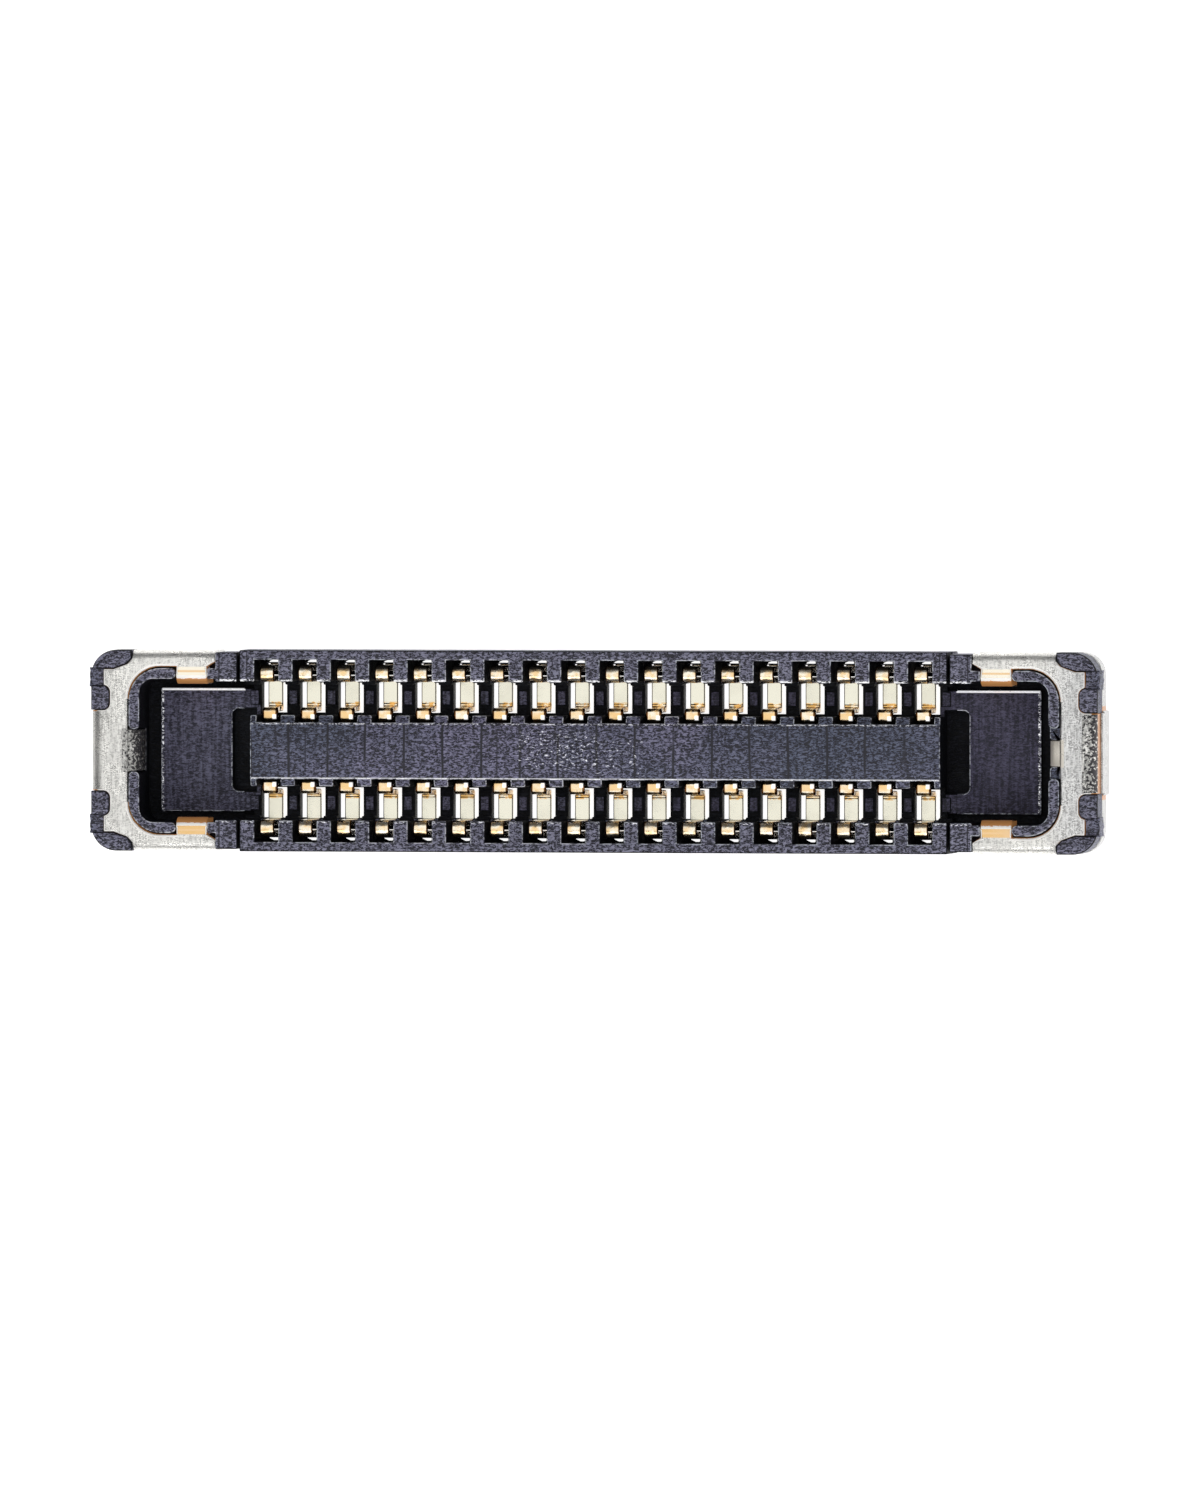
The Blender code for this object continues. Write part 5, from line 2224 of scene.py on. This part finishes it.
@dataclass
class Studio:
    """The floor, the lights and the camera round the part."""

    layout: Layout
    distance: float = 250.0
    lean_x: float = 9.5
    lean_y: float = 1.3
    aim: Span = (0.069, 0.019)
    frame_height: float = 13.46
    sensor: float = 36.0
    floor_half: float = 0.60
    clip_shares: Span = (0.01, 20.0)
    sky_heights: Span = (0.35, 0.95)
    horizon: Colour = (0.09, 0.09, 0.095, 1.0)
    zenith: Colour = (0.24, 0.245, 0.25, 1.0)
    lights: tuple[SoftLight, ...] = (
        SoftLight("overhead", (-0.03, 0.02, 0.30), (0.36, 0.34), 0.30),
        SoftLight("front_strip", (0.00, -0.23, 0.21), (0.40, 0.15), 0.32),
        SoftLight("right_strip", (0.32, -0.02, 0.14), (0.06, 0.36), 0.12),
        SoftLight("left_strip", (-0.31, 0.00, 0.11), (0.12, 0.36), 0.09),
    )

    def floor(self, finish: bpy.types.Material) -> Piece:
        """Add the floor under the part's feet.

        Args:
            finish: The floor's material.

        Returns:
            The floor.
        """
        deselect_all()
        bpy.ops.mesh.primitive_plane_add(size=2 * self.floor_half)
        floor = bpy.context.active_object
        floor.name = "floor"
        floor.data.materials.append(finish)
        floor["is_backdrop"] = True
        return floor

    def camera(self) -> Piece:
        """Set the camera at the photograph's angle, with +Y upwards.

        Returns:
            The camera.
        """
        target = Vector((*self.aim, self.layout.height)) * MILLIMETRE
        lean_x, lean_y = (math.tan(math.radians(lean)) for lean in (self.lean_x, self.lean_y))
        back = Vector((lean_x, lean_y, 1.0)).normalized()
        right = Vector((0.0, 1.0, 0.0)).cross(back).normalized()
        up = back.cross(right)
        deselect_all()
        bpy.ops.object.camera_add(location=target + back * self.distance * MILLIMETRE)
        camera = bpy.context.active_object
        camera.rotation_mode = "QUATERNION"
        camera.rotation_quaternion = Matrix((right, up, back)).transposed().to_quaternion()
        camera.data.sensor_width = self.sensor
        camera.data.lens = self.sensor * self.distance / self.frame_height
        nearest, furthest = (self.distance * MILLIMETRE * share for share in self.clip_shares)
        camera.data.clip_start = nearest
        camera.data.clip_end = furthest
        bpy.context.scene.camera = camera
        return camera

    def surround(self) -> None:
        """Light the part evenly from above and darker from the horizon."""
        world = bpy.data.worlds.new("surround")
        world.use_nodes = True
        bench = NodeBench(world.node_tree)
        way = bench.add("ShaderNodeTexCoord").outputs["Generated"]
        level = bench.ramp(bench.parts(way)[2], *self.sky_heights)
        sky = bench.mix(level, self.horizon, self.zenith)
        plain = bench.add("ShaderNodeLightPath").outputs["Is Camera Ray"]
        shade = bench.add("ShaderNodeBackground", {"Color": bench.mix(plain, sky, WHITE)})
        bench.add("ShaderNodeOutputWorld", {"Surface": shade.outputs[0]})
        bpy.context.scene.world = world

    def build(self, finish: bpy.types.Material) -> None:
        """Set up the floor, the lights, the surroundings and the camera.

        Args:
            finish: The floor's material.
        """
        self.floor(finish)
        for light in self.lights:
            light.build()
        self.surround()
        self.camera()
        bpy.context.scene.view_settings.view_transform = "Standard"


def keep_sizes(name: str, sizes: dict[str, list[list[float]]]) -> None:
    """Note the object's box under a name.

    Args:
        name: The box's name in the notes.
        sizes: All notes, which the new one joins.
    """
    low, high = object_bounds()
    sizes[name] = [list(low), list(high)]


def dress(piece: Piece, node: str, slot: str, *finishes: bpy.types.Material) -> None:
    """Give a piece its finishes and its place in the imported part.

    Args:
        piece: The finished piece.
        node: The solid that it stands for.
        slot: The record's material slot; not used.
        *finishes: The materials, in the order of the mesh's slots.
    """
    while len(piece.data.materials) < len(finishes):
        piece.data.materials.append(None)
    for index, finish in enumerate(finishes):
        piece.data.materials[index] = finish
    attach(piece, BODY)
    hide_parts(node)
    LOG.info("%s: %d faces", piece.name, len(piece.data.polygons))


def main() -> None:
    """Build every piece in order and report each one."""
    logging.basicConfig(level=logging.INFO, format="%(message)s")
    sizes: dict[str, list[list[float]]] = {}
    keep_sizes("packed", sizes)
    layout = Layout()
    corners = CornerPlastic(layout)
    effects = SurfaceEffects(layout)
    plastics = [finish.make(effects) for finish in HOUSING_FINISHES]
    sheet = SatinSheet("satin_sheet", layout).make(effects)
    raw_edge = StampedEdge("stamped_edge", layout).make(effects)
    gold = [finish.make(effects) for finish in contact_finishes(layout)]
    housing = Housing(layout, corners).build(plastics)
    dress(housing, "housing", "plastic", *plastics)
    for end in End:
        cap = HoldDown(layout, corners, end).build()
        dress(cap, f"hold_down_{end.name.lower()}", "plated_sheet", sheet, raw_edge)
    SpringContact(layout).place_all(gold)
    Studio(layout).build(PaleFloor().make(effects))
    keep_sizes("dressed", sizes)


if __name__ == "__main__":
    main()
